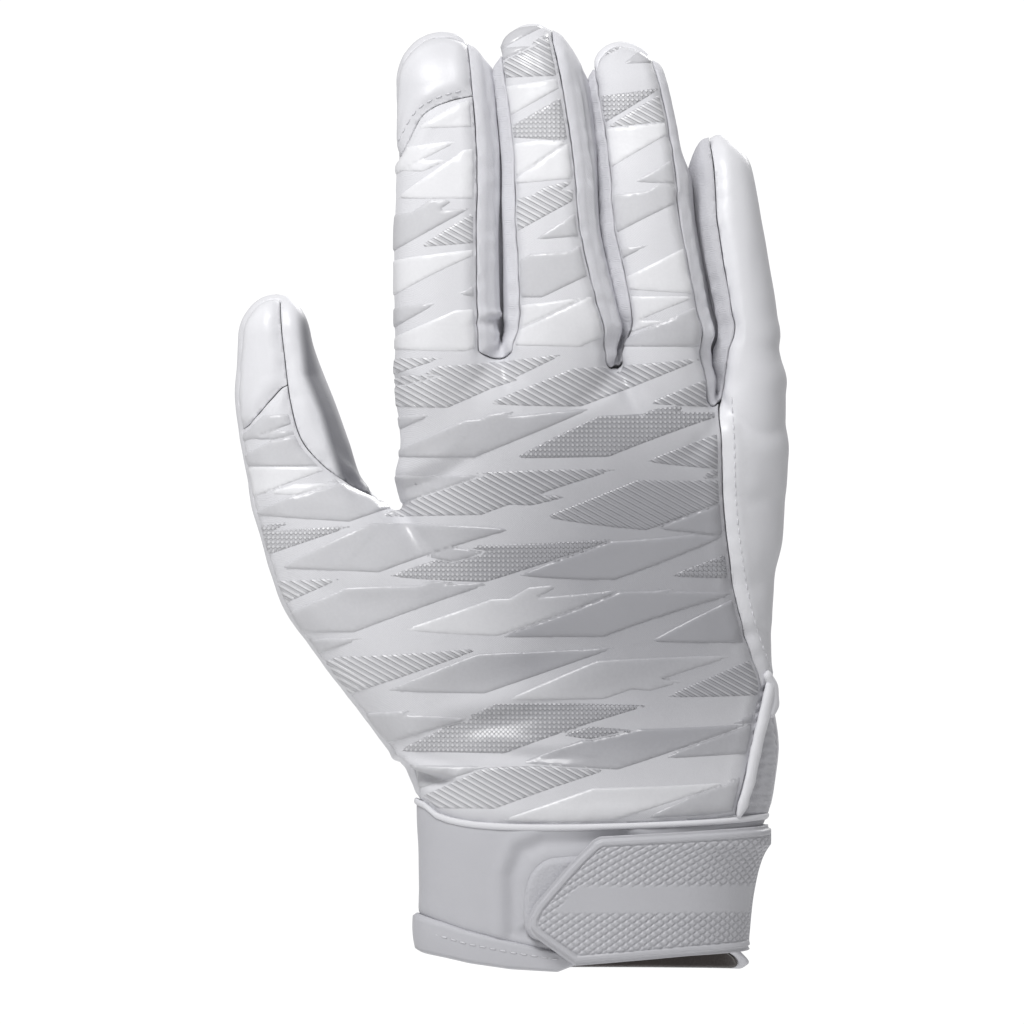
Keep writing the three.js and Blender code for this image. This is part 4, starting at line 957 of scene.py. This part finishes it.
def painted_mid_shade(points):
    """Painted shade: the print and the knit fade from white at the fingers and thumb to grey in the middle of
    the back.
    """
    x, z = points[:, 0], points[:, 2]
    # The fingertips are painted a little greyer, as painted shade.
    return hump(x, 16, 44) * hump(z, 96, 50) + 0.14 * smooth(205, 226, z)


# Each panel: its cut, material and slot, its cloth's flat sides and surface in metres, and its painted shade.
for node_name, (points, faces), material, slot, flat, area, shade_of in [
    ("back_panel", back_cut, "back_knit", "printed_back", (0.15, 0.2), 0.0174, painted_mid_shade),
    ("palm_panel", palm_cut, "skin", "grip_palm", (0.2, 0.24), 0.0278, painted_grip_shade),
    ("index_tip", index_cut, "skin", "grip_palm", (0.025, 0.028), 0.0005, painted_grip_shade),
    ("thumb_tip", thumb_cut, "skin", "grip_palm", (0.02, 0.033), 0.00043, painted_grip_shade),
]:
    outer, away = dressed(points, faces)
    if node_name == "back_panel":
        back_outer, back_faces, back_away = outer, faces, away
    add_piece(node_name + "_cloth", *shell(outer, faces, PANEL_WALL), material, [node_name], slot,
              (flat, "stretched", [], area), shade=np.tile(shade_of(outer), 2))

# The cloth of the strips between the fingers, and of the gusset, is this thick.
SIDE_WALL = 0.8


def gap_sides(i, z):
    """Where the fingers on both sides of a gap end."""
    return at_height(FINGER_LINES[i], "right", z), at_height(FINGER_LINES[i + 1], "left", z)


def lean_together(points, normals, away, i):
    """Neighbouring fingers press their strips on each other: how far each point moves sideways."""
    x, y, z = points.T
    left, right = gap_sides(i, z)
    room = np.maximum(right - left + 2 * LITTLE_ROOM * (i == 2), 0) / 2 + 0.6
    side = np.sign((left + right) / 2 - x)
    facing = smooth(0.72, 0.96, normals[:, 0] * side)
    wave = 0.6 * np.sin(2 * math.pi * (y - at_height(FINGER_LINES[i], "cy", z)) / 9)
    low_tip = min(FINGERS[i]["top"], FINGERS[i + 1]["top"])
    hold = smooth(0.6, 3.2, away) * smooth(low_tip - 3, low_tip - 13, z)
    return hold * facing * (side * (room - 0.08) + wave)


def painted_strip_shade(points, i):
    """Painted shade: each strip is darker in its deep part, and on the side that the next finger covers."""
    x, y, z = points.T
    left, right = gap_sides(i, z)
    off = x - (left + right) / 2
    deep = smooth(3.5, 0.5, np.abs(off)) * smooth(-9, -4, y)
    covered = smooth(-0.5, 0.8, off) * (0.0, 0.04, 0.2)[i]
    return 0.12 * deep + covered


for i, (name, flat, area) in enumerate([("fourchette_index_middle", (0.02, 0.18), 0.0019),
                                        ("fourchette_middle_ring", (0.02, 0.185), 0.002),
                                        ("fourchette_ring_little", (0.022, 0.18), 0.0021)]):
    points, faces = cut(*palm_skin, lambda p: in_gap(p, i) + GAP)
    outer, away = dressed(points, faces, drop=0.5, wide=1.2, pucker=0.3)
    sunk = 0.5 * smooth(1, 5, away)
    normals = normals_of(outer, faces)
    outer = outer - sunk[:, None] * normals
    outer[:, 0] += lean_together(outer, normals, away, i)
    add_piece(name + "_cloth", *shell(outer, faces, SIDE_WALL), "side_knit", [name], "stretch_side",
              (flat, "stretched", [], area), shade=np.tile(painted_strip_shade(outer, i), 2))


# The raised print of the back.

# How a band is filled (plain, ribbed, dotted or pale), how far each kind stands out, and how dark it is.
RIBBED, DOTTED = 1, 2
KIND_RISE = np.array([0.42, 0.3, 0.3, 0.36])
KIND_TONE = np.array([1.0, 0.2, 0.3, 0.0])
# The print keeps a margin from the seams, has a rounded rim and a foot sunk in the knit, and patches of
# fewer square millimetres than the last of these are left out.
PRINT_MARGIN, PRINT_RIM, PRINT_FOOT, SMALLEST_PATCH = 0.9, 0.45, 0.06, 7


def flames():
    """Tapered diagonal bands that interlock in staggered rows: how each is filled, and its blades. A blade is
    its left end, length, slope, half width and bow."""
    draw = np.random.default_rng(5)
    bands = []
    for row in range(-3, 30):
        z = 36 + 7.4 * row + draw.uniform(-0.6, 0.6)
        slope = 0.2 + 0.13 * smooth(125, 200, z)
        pitch = 66 - 14 * smooth(125, 200, z)
        x = -150 + pitch / 2 * (row % 2) + draw.uniform(-7, 7)
        while x < 62:
            long, half = pitch * draw.uniform(0.9, 1.04), draw.uniform(4.6, 6.6)
            lean = slope + draw.uniform(-0.035, 0.035)
            low = z + slope * (x + 30) + draw.uniform(-0.8, 0.8)
            blades = [(x, low, long, lean, half, draw.uniform(-1.5, 1.5))]
            if draw.uniform() < 0.7:
                start, side = draw.uniform(0.35, 0.62) * long, draw.choice([-1, 1])
                blades.append((x + start, low + lean * start + side * half * 0.45,
                               draw.uniform(0.3, 0.42) * long, lean + side * draw.uniform(0.06, 0.12),
                               half * draw.uniform(0.22, 0.36), 0.0))
            bands.append((draw.choice(4, p=[0.34, 0.22, 0.2, 0.24]), blades))
            x += pitch
    return bands


def blade_depth(x, z, blades):
    """Signed distance from a band's edge, negative inside."""
    best = np.full(len(x), 1e3)
    for left, low, long, slope, half, bow in blades:
        c = 1 / math.hypot(1, slope)
        along = ((x - left) * c + (z - low) * slope * c) / long
        off = (z - low) * c - (x - left) * slope * c
        t = np.clip(along, 0, 1)
        width = (half + 0.35) * np.minimum((t / 0.4) ** 0.9, ((1 - t) / 0.6) ** 1.05) - 0.35
        away = np.abs(off - bow * 4 * t * (1 - t)) - width
        best = np.minimum(best, np.maximum(away, np.maximum(-along, along - 1) * long))
    return best


def top_band(x, z, bands):
    """How far each point is from an edge that shows, and how the band on top is filled (-1: none)."""
    edge, kind = np.full(len(x), 1e3), np.full(len(x), -1)
    for fill, blades in bands:
        depth = blade_depth(x, z, blades)
        edge = np.where(depth < 0, -depth, np.minimum(edge, depth))
        kind = np.where(depth < 0, fill, kind)
    return edge, kind


def islands(faces, count):
    """A number for each point, the same over each joined patch of faces."""
    label = np.arange(count)
    while True:
        lower = label.copy()
        np.minimum.at(lower, faces.ravel(), np.repeat(label[faces].min(1), 3))
        lower = lower[lower]
        if (lower == label).all():
            return label
        label = lower


def midpoints(points, faces):
    return points[faces].mean(1)


bands = flames()
band_at = lambda p: top_band(p[:, 0], p[:, 2], bands)
# Each row of printed is a place, its distance from the seams and the knit's own normal there.
printed = np.concatenate([back_outer, back_away[:, None], normals_of(back_outer, back_faces)], axis=1)
printed, faces = keep(printed, back_faces, PRINT_MARGIN - printed[:, 3])
for _, blades in bands:
    printed, faces, _ = split(printed, faces, blade_depth(printed[:, 0], printed[:, 2], blades))
printed, faces = compact(printed, faces[band_at(midpoints(printed, faces))[1] >= 0])
printed, faces, _ = split(printed, faces, band_at(printed)[0] - PRINT_RIM)
edge, over = band_at(printed)
# A corner outside the blades, at a thin tip, stays low.
edge[over < 0] = 0
face_kind = band_at(midpoints(printed, faces))[1]
kind = np.zeros(len(printed), int)
for k in range(3):
    kind[faces[:, k]] = face_kind
edge = np.minimum(edge, printed[:, 3] - PRINT_MARGIN)
lift = KIND_RISE[kind] * smooth(0, 0.5, edge) - PRINT_FOOT
# A lone raised point at a thin tip would stand as a speck, so none stands far above its neighbours.
around = np.bincount(faces.ravel(), (lift[faces].sum(1)[:, None] - lift[faces]).ravel(), len(lift))
lift = np.minimum(lift, around / (2 * np.bincount(faces.ravel(), minlength=len(lift))) + 0.03)
outer = printed[:, :3] + lift[:, None] * printed[:, 4:]
island = islands(faces, len(outer))[faces[:, 0]]
a, b, c = (outer[faces[:, k]] for k in range(3))
size = np.bincount(island, np.linalg.norm(np.cross(b - a, c - a), axis=1) / 2, len(outer))
rows, faces = compact(np.column_stack([outer, kind, printed]), faces[size[island] > SMALLEST_PATCH])
outer, kind, printed = rows[:, :3], rows[:, 3].astype(int), rows[:, 4:]
points, faces = shell(outer, faces, 0.3, printed[:, 4:])
add_piece("back_print", points, faces, "print", [], "printed_back", shade=np.tile(painted_mid_shade(printed), 2),
          ribs=np.tile(kind == RIBBED, 2).astype(float), dots=np.tile(kind == DOTTED, 2).astype(float),
          tone=np.tile(KIND_TONE[kind], 2))


# The cuff: rings round the wrist.

# Lengths round the cuff are measured at this height.
RING_LEVEL = 20.0
RING_COUNT = 420


def ring_point(angle, z, off):
    """A place on the cuff's ring, where angle 0 is the little-finger side and -90 degrees the front."""
    cx, rx, cy, ry = sizes_at(BODY_LINE, z)
    c, s = np.cos(angle), np.sin(angle)
    x = cx + (rx + off) * np.sign(c) * np.abs(c) ** (2 / BODY_SQUARE)
    y = cy + (ry + off) * np.sign(s) * np.abs(s) ** (2 / BODY_SQUARE)
    # The hem is filled out at its lower right corner.
    return x + 5.5 * smooth(8, 1, z) * smooth(0.55, 0.95, c), y


raw_angle = np.linspace(-math.pi, math.pi, 4001)
raw_x, raw_y = ring_point(raw_angle, RING_LEVEL, 0)
raw_arc = np.concatenate([[0], np.cumsum(np.hypot(np.diff(raw_x), np.diff(raw_y)))])
ring_angles = np.interp(np.linspace(0, raw_arc[-1], RING_COUNT + 1)[:-1], raw_arc, raw_angle)


def grid_faces(rows, columns, closed):
    r, c = np.meshgrid(np.arange(rows - 1), np.arange(columns if closed else columns - 1), indexing="ij")
    n = (c + 1) % columns
    quads = np.stack([r * columns + c, r * columns + n, (r + 1) * columns + n, (r + 1) * columns + c], -1)
    return quads.reshape(-1, 4)


def ring_band(low, high, profile):
    """A closed band round the wrist: profile gives (share up, how far out) round its section."""
    a = ring_angles[None, :]
    share, out = (column[:, None] for column in np.array(profile).T)
    x0, y0 = ring_point(a, RING_LEVEL, 0)
    z = mix(low(x0, y0), high(x0, y0), share)
    x, y = ring_point(np.broadcast_to(a, z.shape), z, out)
    points = np.stack([x, y, z], -1).reshape(-1, 3)
    count = len(profile)
    faces = grid_faces(count, RING_COUNT, True)
    last = grid_faces(2, RING_COUNT, True)
    last = np.where(last >= RING_COUNT, last - RING_COUNT, last + (count - 1) * RING_COUNT)
    return points, quads_to_triangles(points, np.concatenate([faces, last]))


def section(outside, inside, count, rounding, swell=0.0):
    """The profile of a band: up its outer face and down its inner one, with rounded ends."""
    t = np.linspace(0, 1, count)
    face = outside - rounding * (1 - dome(np.minimum(t, 1 - t), 0.08))
    face = face + swell * np.sin(math.pi * t) ** 0.8
    return list(zip(t, face)) + [(0.97, inside), (0.5, inside), (0.03, inside)]


def under_edge(x, y, hem_share):
    """The cuff's lower edge, and at a share of 1 the hem's upper edge: they rise across the front."""
    on_front = smooth(CUFF_DEPTH / 4, -CUFF_DEPTH / 4, y)
    front = np.maximum(on_front, smooth(cuff_x(-0.35), cuff_x(-0.9), x))
    row = lambda column: np.interp(x, cuff_x(FRONT_EDGE["across"]), FRONT_EDGE[column])
    return front * row("rise") * CUFF_HEIGHT + hem_share * HEM_HEIGHT * mix(1, row("hem"), front)


# Where the strap's end presses a frame into the cuff.
PRESSED = [(-17.6, 10), (-17.8, 24), (-15.5, 30), (-10, 32.4), (10, 33), (30, 20), (10, 8)]
hem_low = lambda x, y: under_edge(x, y, 0)
hem_high = lambda x, y: under_edge(x, y, 1)
wrist_high = lambda x, y: wrist_z(x)

points, faces = ring_band(lambda x, y: hem_high(x, y) - 0.4, lambda x, y: wrist_high(x, y) + 0.4,
                          section(-0.1, -CUFF_WALL, 34, 0.5, 0.1))
normals = normals_of(points, faces)
moved = 0.2 * grain(points, 12, 5) + 0.08 * grain(points, 5, 6)
front = smooth(0.2, 0.7, -normals[:, 1])
groove = outline_distance(points[:, 0], points[:, 2], PRESSED)
moved -= front * (hump(groove, 0, 2.0) - 0.35 * hump(groove, 3.6, 1.8))
points = points + moved[:, None] * normals
cuff_cloth = add_piece("cuff_band_cloth", points, faces, "cuff", ["cuff_band"], "cuff_knit",
                       ((0.205, 0.036), "stretched", [], 0.0056))
points, faces = ring_band(hem_low, hem_high, section(HEM_PROUD, -CUFF_WALL, 14, 0.9, 0.2))
points[:, 0] -= 0.8 * smooth(-34, -40, points[:, 0])
add_piece("cuff_hem_cloth", points, faces, "cuff", ["cuff_hem"], "cuff_knit",
          ((0.205, 0.0125), "stretched", [], 0.0018))
LINING_TOP = 26
points, faces = ring_band(lambda x, y: hem_low(x, y) + 0.2, lambda x, y: LINING_TOP + 0 * x,
                          section(-CUFF_WALL - 0.3, -CUFF_WALL - 0.3 - LINING_WALL, 14, 0.2))
add_piece("cuff_lining_cloth", points, faces, "lining", ["cuff_lining"], "dark_lining",
          ((0.2, 0.026), "stretched", [], 0.0041))
bead = [(t, 0.05 + 0.5 * math.sin(math.pi * t) ** 0.6) for t in np.linspace(0, 1, 9)] + [(0.5, -0.4)]
points, faces = ring_band(lambda x, y: wrist_high(x, y) - 1.0, lambda x, y: wrist_high(x, y) + 0.7, bead)
add_piece("wrist_seam_tape_cloth", points, faces, "tape", ["wrist_seam_tape"], "trim_tape")


# The strap and what lies under it.
def arc_of(x):
    """Arc length round the ring of a place across the front."""
    return float(np.interp(x, raw_x[raw_angle < 0], raw_arc[raw_angle < 0]))


# The strap is straight above this height, where the hand widens.
STRAP_FLARE = 31.5


def wrap(outline, step, offset_of, inside):
    """A sheet round the cuff, cut to an outline in arc length and height: how far off the ring its outer face
    lies, as offset_of gives it, and its inner face."""
    us, zs = (np.arange(min(row) - 1, max(row) + 1, step) for row in zip(*outline))
    z, u = (g.ravel() for g in np.meshgrid(zs, us, indexing="ij"))
    flat = np.stack([u, z, np.zeros(len(u))], 1)
    faces = quads_to_triangles(flat, grid_faces(len(zs), len(us), False))
    flat, faces = keep(flat, faces, outline_distance(flat[:, 0], flat[:, 1], outline))
    inward = -outline_distance(flat[:, 0], flat[:, 1], outline)
    off = offset_of(flat[:, 0], flat[:, 1], inward)
    angle = np.interp(flat[:, 0], raw_arc, raw_angle)
    level = np.minimum(flat[:, 1], STRAP_FLARE)
    # The strap stands off a little where it turns round the little-finger side.
    turn = (1.3 * smooth(3, 8, flat[:, 1]) + 0.2 * smooth(27, 33, flat[:, 1])) * hump(angle, 0, 0.5)
    place = lambda away: np.stack([*ring_point(angle, level, away + turn), flat[:, 1]], 1)
    return closed(place(off), place(inside), faces)


front_outline = [(arc_of(cuff_x(a)), u * CUFF_HEIGHT) for a, u in STRAP_OUTLINE][::-1]
side_arc = arc_of(cuff_x(1.0))
# The strap's blunt end lies behind, at this place across.
behind_arc = float(np.interp(-cuff_x(0.3), -raw_x[raw_angle > 0], raw_arc[raw_angle > 0]))
strap_outline = []
for u, z in front_outline:
    if u > side_arc - 2.5 and z < 15:
        strap_outline += [(u, z), (u + 14, 0.21 * CUFF_HEIGHT), (behind_arc, 0.24 * CUFF_HEIGHT)]
    elif u > side_arc - 2.5:
        strap_outline += [(behind_arc, 0.97 * CUFF_HEIGHT), (u + 14, 0.985 * CUFF_HEIGHT), (u, z)]
    else:
        strap_outline.append((u, z))

# How far off the cuff's ring the layers lie: the pad, the strap's inner face and its outer one.
PAD_TOP = HEM_PROUD + 1.0
STRAP_FOOT = PAD_TOP + 0.2
STRAP_TOP = STRAP_FOOT + 1.3


def strap_surface(u, z, inward):
    """A rounded edge with a sewn groove beside it, and a faint wave along the strap."""
    return STRAP_TOP - 0.35 * hump(inward, 0, 0.7) - 0.18 * hump(inward, 1.0, 0.45) + 0.05 * np.sin(u * 0.35)


points, faces = wrap(strap_outline, 0.55, strap_surface, STRAP_FOOT)
add_piece("strap_cloth", points, faces, "strap", ["strap"], "strap_webbing",
          ((0.095, 0.034), "stretched", [cuff_cloth], 0.0028))

# The moulded patch lies a margin inside the strap's edge; its field has a diamond knurl and a plain bar.
PATCH_END_ARC = float(np.interp(0.0, raw_angle, raw_arc)) + 1.5
patch_outline = [(min(u, PATCH_END_ARC), z) for u, z in strap_outline if u < PATCH_END_ARC + 14]
PATCH_MARGIN, KNURL_PITCH, KNURL_RISE, RIM_WIDE, RIM_RISE = 0.7, 1.9, 0.42, 1.9, 0.75
bar_low, bar_high = 0.41 * CUFF_HEIGHT, 0.59 * CUFF_HEIGHT


def patch_surface(u, z, inward):
    """A rim all round, and in it a diamond knurl that a plain bar interrupts."""
    inward = inward - PATCH_MARGIN
    rim = smooth(0, 0.5, inward) * (1 - smooth(RIM_WIDE - 0.5, RIM_WIDE, inward))
    a, b = (u + 1.35 * z) / KNURL_PITCH, (u - 1.35 * z) / KNURL_PITCH
    saw = lambda v: np.abs(2 * (v / 1.35 - np.floor(v / 1.35)) - 1)
    knurl = np.clip(2.2 * np.minimum(saw(a), saw(b)) - 0.1, 0, 1)
    on_bar = smooth(bar_low - 0.5, bar_low + 0.3, z) * (1 - smooth(bar_high - 0.3, bar_high + 0.5, z))
    on_bar = on_bar * smooth(RIM_WIDE + 2.2, RIM_WIDE + 2.8, inward)
    field = mix(0.25 + KNURL_RISE * knurl, 0.55, on_bar)
    field = field * smooth(RIM_WIDE - 0.3, RIM_WIDE + 0.3, inward)
    return STRAP_TOP + 0.2 + RIM_RISE * rim + field * (inward > 0) * (1 - rim) + 0.05 * np.sin(u * 0.35)


points, faces = wrap(patch_outline, 0.27, patch_surface, STRAP_TOP - 0.2)
add_piece("strap_patch_rubber", points, faces, "patch", ["strap_patch"], "moulded_patch")

pad_outline = finely([(28.0, 9.0), (-8.0, 7.8), (-12.5, 8.6), (-14.4, 11.5), (-14.6, 21.0), (-12.6, 26.0),
                      (-8.5, 28.6), (28.0, 30.0)], 2.0)
pad_outline = [(arc_of(x), z) for x, z in pad_outline]
pad_surface = lambda u, z, inward: 0.1 + 1.15 * smooth(-0.2, 1.4, inward)
points, faces = wrap(pad_outline, 0.6, pad_surface, 0.1)
add_piece("loop_pad_cloth", points, faces, "pile", ["loop_pad"], "loop_fabric",
          ((0.05, 0.024), "laid", [cuff_cloth], 0.00107))


# The slit at the little-finger side.
def on_body(x, z, off=0.0):
    """A place on the body's front at x, and its direction outwards."""
    cx, rx, cy, ry = sizes_at(BODY_LINE, z)
    share = np.clip(np.abs((x - cx) / rx), 0, 0.9999)
    y = cy - ry * (1 - share**BODY_SQUARE) ** (1 / BODY_SQUARE)
    p = np.array([x, y, z])
    slope = field_slope(body, p[None, :])[0]
    slope /= np.linalg.norm(slope)
    return p + off * slope, slope


def sweep(path, outs, wide, thick, sides=12):
    """A soft rope of cloth along a path: wide and thick are its half sizes at each point."""
    path, outs = np.array(path), np.array(outs)
    along = np.gradient(path, axis=0)
    along /= np.linalg.norm(along, axis=1, keepdims=True)
    across = np.cross(along, outs)
    across /= np.linalg.norm(across, axis=1, keepdims=True)
    up = np.cross(across, along)
    t = np.arange(sides) / sides * 2 * math.pi
    ring = (np.array(wide)[:, None, None] * np.cos(t)[None, :, None] * across[:, None, :]
            + np.array(thick)[:, None, None] * np.sin(t)[None, :, None] * up[:, None, :])
    points = (path[:, None, :] + ring).reshape(-1, 3)
    faces = quads_to_triangles(points, grid_faces(len(path), sides, True))
    ends = []
    for row, flip in ((0, True), (len(path) - 1, False)):
        points = np.concatenate([points, path[row][None, :]])
        a = row * sides + np.arange(sides)
        b = row * sides + (np.arange(sides) + 1) % sides
        tip = np.full(sides, len(points) - 1)
        ends.append(np.stack([b, a, tip] if flip else [a, b, tip], 1))
    return points, np.concatenate([faces] + ends)


binding_path = finely([(38.2, 38.4), (41.2, 47.8), (43.3, 58.2), (45.2, 66.0), (46.2, 71.2)], 0.8)
spots = [on_body(x, z, 0.35) for x, z in binding_path]
path, outs = [s[0] for s in spots], [s[1] for s in spots]
count = len(path)
t = np.linspace(0, 1, count)
wide = 1.5 * np.minimum(1, 0.35 + 6 * t) * (1 + 0.05 * np.sin(26 * t))
thick = 1.05 * np.minimum(1, 0.35 + 6 * t)
binding_points, binding_faces = sweep(path, outs, wide, thick)

knob_path, knob_outs = [], []
for t in np.linspace(0, 1, 16):
    z = 63.8 + 10.4 * t
    x, y = ring_point(np.array([-0.34 + 0.16 * math.sin(math.pi * t)]), np.array([z]), 0.3)
    knob_path.append(np.array([float(x[0]), float(y[0]), z]))
    slope = field_slope(body, knob_path[-1][None, :])[0]
    knob_outs.append(slope / np.linalg.norm(slope))
taper = np.sin(math.pi * (0.1 + 0.8 * np.linspace(0, 1, 16))) ** 0.5
knob_points, knob_faces = sweep(knob_path, knob_outs, 1.9 * taper, 1.3 * taper, 16)
points = np.concatenate([binding_points, knob_points])
faces = np.concatenate([binding_faces, knob_faces + len(binding_points)])
# The tape is sewn on unevenly.
points = points + 0.22 * grain(points, 2.8, 8)[:, None] * normals_of(points, faces)
add_piece("slit_binding_cloth", points, faces, "tape", ["slit_binding"], "trim_tape")

# How far the gusset lies below the hand's own form, and how closely its ribs follow each other.
GUSSET_SUNK, GUSSET_RIBS = 1.3, 2.4
sunk_body = lambda x, y, z: body(x, y, z) + GUSSET_SUNK
points, faces = field_mesh(sunk_body, (30, -22, 33), (52, 8, 78), 0.7)
points[:, 0] += 1.2 * smooth(38, 45, points[:, 0]) * smooth(66, 54, points[:, 2])
points, faces = cut(points, faces, lambda p: in_gusset(p) - 1.0, lambda p: wrist_z(p[:, 0]) - 0.6 - p[:, 2],
                    lambda p: p[:, 2] - slit_top[1] - 1)
points = points + (0.25 * np.sin(points[:, 2] * GUSSET_RIBS))[:, None] * normals_of(points, faces)
add_piece("wrist_gusset_cloth", *shell(points, faces, SIDE_WALL), "gusset_knit", ["wrist_gusset"],
          "gusset_knit", ((0.016, 0.036), "stretched", [], 0.0005))


# Stitches, by Geometry Nodes.
def stitch_tree():
    """Lays short thread stitches along a path of loose edges."""
    tree = bpy.data.node_groups.new("thread_stitches", "GeometryNodeTree")
    for name, kind, value in (("Geometry", "NodeSocketGeometry", None), ("Pitch", "NodeSocketFloat", 2.4 * MM),
                              ("Stitch length", "NodeSocketFloat", 1.7 * MM),
                              ("Thread radius", "NodeSocketFloat", 0.2 * MM)):
        socket = tree.interface.new_socket(name, in_out="INPUT", socket_type=kind)
        if value is not None:
            socket.default_value = value
    tree.interface.new_socket("Geometry", in_out="OUTPUT", socket_type="NodeSocketGeometry")
    entry = node(tree, "NodeGroupInput")
    path = node(tree, "GeometryNodeMeshToCurve", [("Mesh", entry.outputs["Geometry"])])
    even = node(tree, "GeometryNodeResampleCurve", [("Curve", path), ("Length", entry.outputs["Pitch"])],
                mode="LENGTH")
    tangent = node(tree, "GeometryNodeInputTangent")
    turn = node(tree, "FunctionNodeAlignRotationToVector", [("Vector", tangent)], axis="X")
    bead = node(tree, "GeometryNodeMeshUVSphere", [("Segments", 6), ("Rings", 5), ("Radius", 1.0)])
    half = node(tree, MATHS, enumerate((entry.outputs["Stitch length"], 0.5)), operation="MULTIPLY")
    radius = entry.outputs["Thread radius"]
    size = node(tree, "ShaderNodeCombineXYZ", enumerate((half, radius, radius)))
    shape = node(tree, "GeometryNodeTransform", [("Geometry", bead), ("Scale", size)])
    points = node(tree, "GeometryNodeInstanceOnPoints",
                  [("Points", even), ("Instance", shape), ("Rotation", turn)])
    real = node(tree, "GeometryNodeRealizeInstances", [("Geometry", points)])
    shade = node(tree, "GeometryNodeSetShadeSmooth", [("Geometry", real)])
    coat = node(tree, "GeometryNodeSetMaterial", [("Geometry", shade), ("Material", MATERIALS["thread"])])
    node(tree, "NodeGroupOutput", [(0, coat)])
    return tree


STITCHES = stitch_tree()


def surface_of(name):
    mesh = made[name].data
    return BVHTree.FromPolygons([v.co for v in mesh.vertices], [p.vertices for p in mesh.polygons])


def front_point(trees, x, z, lift):
    """The nearest cloth to the eye at a place seen from the front."""
    best = None
    for tree in trees:
        spot, normal, _, _ = tree.ray_cast(Vector((x * MM, -0.3, z * MM)), Vector((0, 1, 0)))
        if spot and (best is None or spot.y < best[0].y):
            best = (spot, normal)
    return best[0] + best[1] * lift * MM if best else None


def stitch_piece(name, lines, pitch=2.4, long=1.7, radius=0.2):
    """One piece with the stitches of several lines, each a list of points in metres."""
    points, edges = [], []
    for line in lines:
        line = [p for p in line if p is not None]
        edges += [(len(points) + k, len(points) + k + 1) for k in range(len(line) - 1)]
        points += [tuple(p) for p in line]
    mesh = bpy.data.meshes.new(name + "_path")
    mesh.from_pydata(points, edges, [])
    path = placed(name + "_path", mesh)
    sewing = path.modifiers.new("stitches", "NODES")
    sewing.node_group = STITCHES
    wanted = {"Pitch": pitch * MM, "Stitch length": long * MM, "Thread radius": radius * MM}
    for socket in STITCHES.interface.items_tree:
        if socket.in_out == "INPUT" and socket.name in wanted:
            sewing[socket.identifier] = wanted[socket.name]
    done = path.evaluated_get(bpy.context.evaluated_depsgraph_get())
    piece = placed(name, bpy.data.meshes.new_from_object(done))
    bpy.data.objects.remove(path)
    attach(piece, "root")


def shifted(path, across):
    """A path moved sideways, to its right as it runs."""
    p = np.array(path)
    t = np.gradient(p, axis=0)
    t /= np.maximum(np.linalg.norm(t, axis=1, keepdims=True), 1e-9)
    return np.stack([p[:, 0] + t[:, 1] * across, p[:, 1] - t[:, 0] * across], 1)


hand_trees = [surface_of(name + "_cloth") for name in ("back_panel", "palm_panel", "index_tip", "thumb_tip")]
front_line = lambda path: [front_point(hand_trees, x, z, 0.05) for x, z in path.tolist()]
stitch_piece("hand_stitches", [
    front_line(shifted(ulnar_seam, -3.0)),
    front_line(shifted(finely(INDEX_CAP[:-2], 1.5)[2:-2], -1.6)),
])


def ring_line(height, off, count=500):
    """A line round the wrist."""
    a = np.linspace(-math.pi, math.pi, count)
    z = height(*ring_point(a, RING_LEVEL, 0))
    return [Vector(spot) * MM for spot in np.stack([*ring_point(a, z, off), z], 1).tolist()]


stitch_piece("cuff_stitches", [
    ring_line(lambda x, y: mix(hem_low(x, y), hem_high(x, y), 0.62), HEM_PROUD + 0.25),
], pitch=2.6, long=1.9, radius=0.17)

# Stage, light and camera.
floor_mesh = bpy.data.meshes.new("studio_floor")
floor_mesh.from_pydata([(-3, -3, -0.3), (3, -3, -0.3), (3, 3, -0.3), (-3, 3, -0.3)], [], [(0, 1, 2, 3)])
floor = placed("studio_floor", floor_mesh)
# Matt white paper. It glows faintly for the camera alone, so that it stays pale from every side.
paper = bpy.data.materials.new("white_paper_floor")
paper.use_nodes = True
tree = paper.node_tree
shader = tree.nodes["Principled BSDF"]
set_values(shader, {"Base Color": linear("#fbfbfb"), "Roughness": 0.9, "Emission Color": (0.35, 0.35, 0.35, 1)})
glow = node(tree, "ShaderNodeLightPath").outputs["Is Camera Ray"]
tree.links.new(glow, shader.inputs["Emission Strength"])
floor_mesh.materials.append(paper)

# The sky is white where the camera sees it and dimmer as a light.
SKY_LIGHT, SKY_SEEN = 0.4, 1.06
world = bpy.data.worlds.new("studio")
bpy.context.scene.world = world
world.use_nodes = True
tree = world.node_tree
tree.nodes.clear()
seen = node(tree, "ShaderNodeLightPath").outputs["Is Camera Ray"]
strength = node(tree, MATHS, enumerate((seen, SKY_SEEN - SKY_LIGHT, SKY_LIGHT)), operation="MULTIPLY_ADD")
sky_light = node(tree, "ShaderNodeBackground", [("Color", (1, 1, 1, 1)), ("Strength", strength)])
node(tree, "ShaderNodeOutputWorld", [("Surface", sky_light)])


def softbox(name, place, aim, size, watts):
    light = bpy.data.lights.new(name, "AREA")
    light.shape = "RECTANGLE"
    light.size, light.size_y = size
    light.energy = watts
    lamp = placed(name, light)
    lamp.location = place
    lamp.rotation_euler = (Vector(aim) - Vector(place)).to_track_quat("-Z", "Y").to_euler()


softbox("key", (-0.28, -0.55, 0.86), (0, 0, 0.14), (0.35, 0.35), 6.3)
softbox("back", (0.4, 1.0, 0.75), (0, 0, 0.12), (0.5, 0.5), 6.0)
softbox("fill", (-0.9, -0.9, -0.1), (0, 0, 0.05), (0.6, 0.6), 1.0)

# The photo is taken square on from far away, with 256 mm across its frame.
camera = bpy.data.cameras.new("camera")
camera.lens = 400
camera.sensor_width = 36
eye = placed("camera", camera)
eye.location = (-0.018, -2.844, 0.1145)
eye.rotation_euler = (math.pi / 2, 0, 0)
bpy.context.scene.camera = eye
bpy.context.scene.view_settings.view_transform = "Standard"
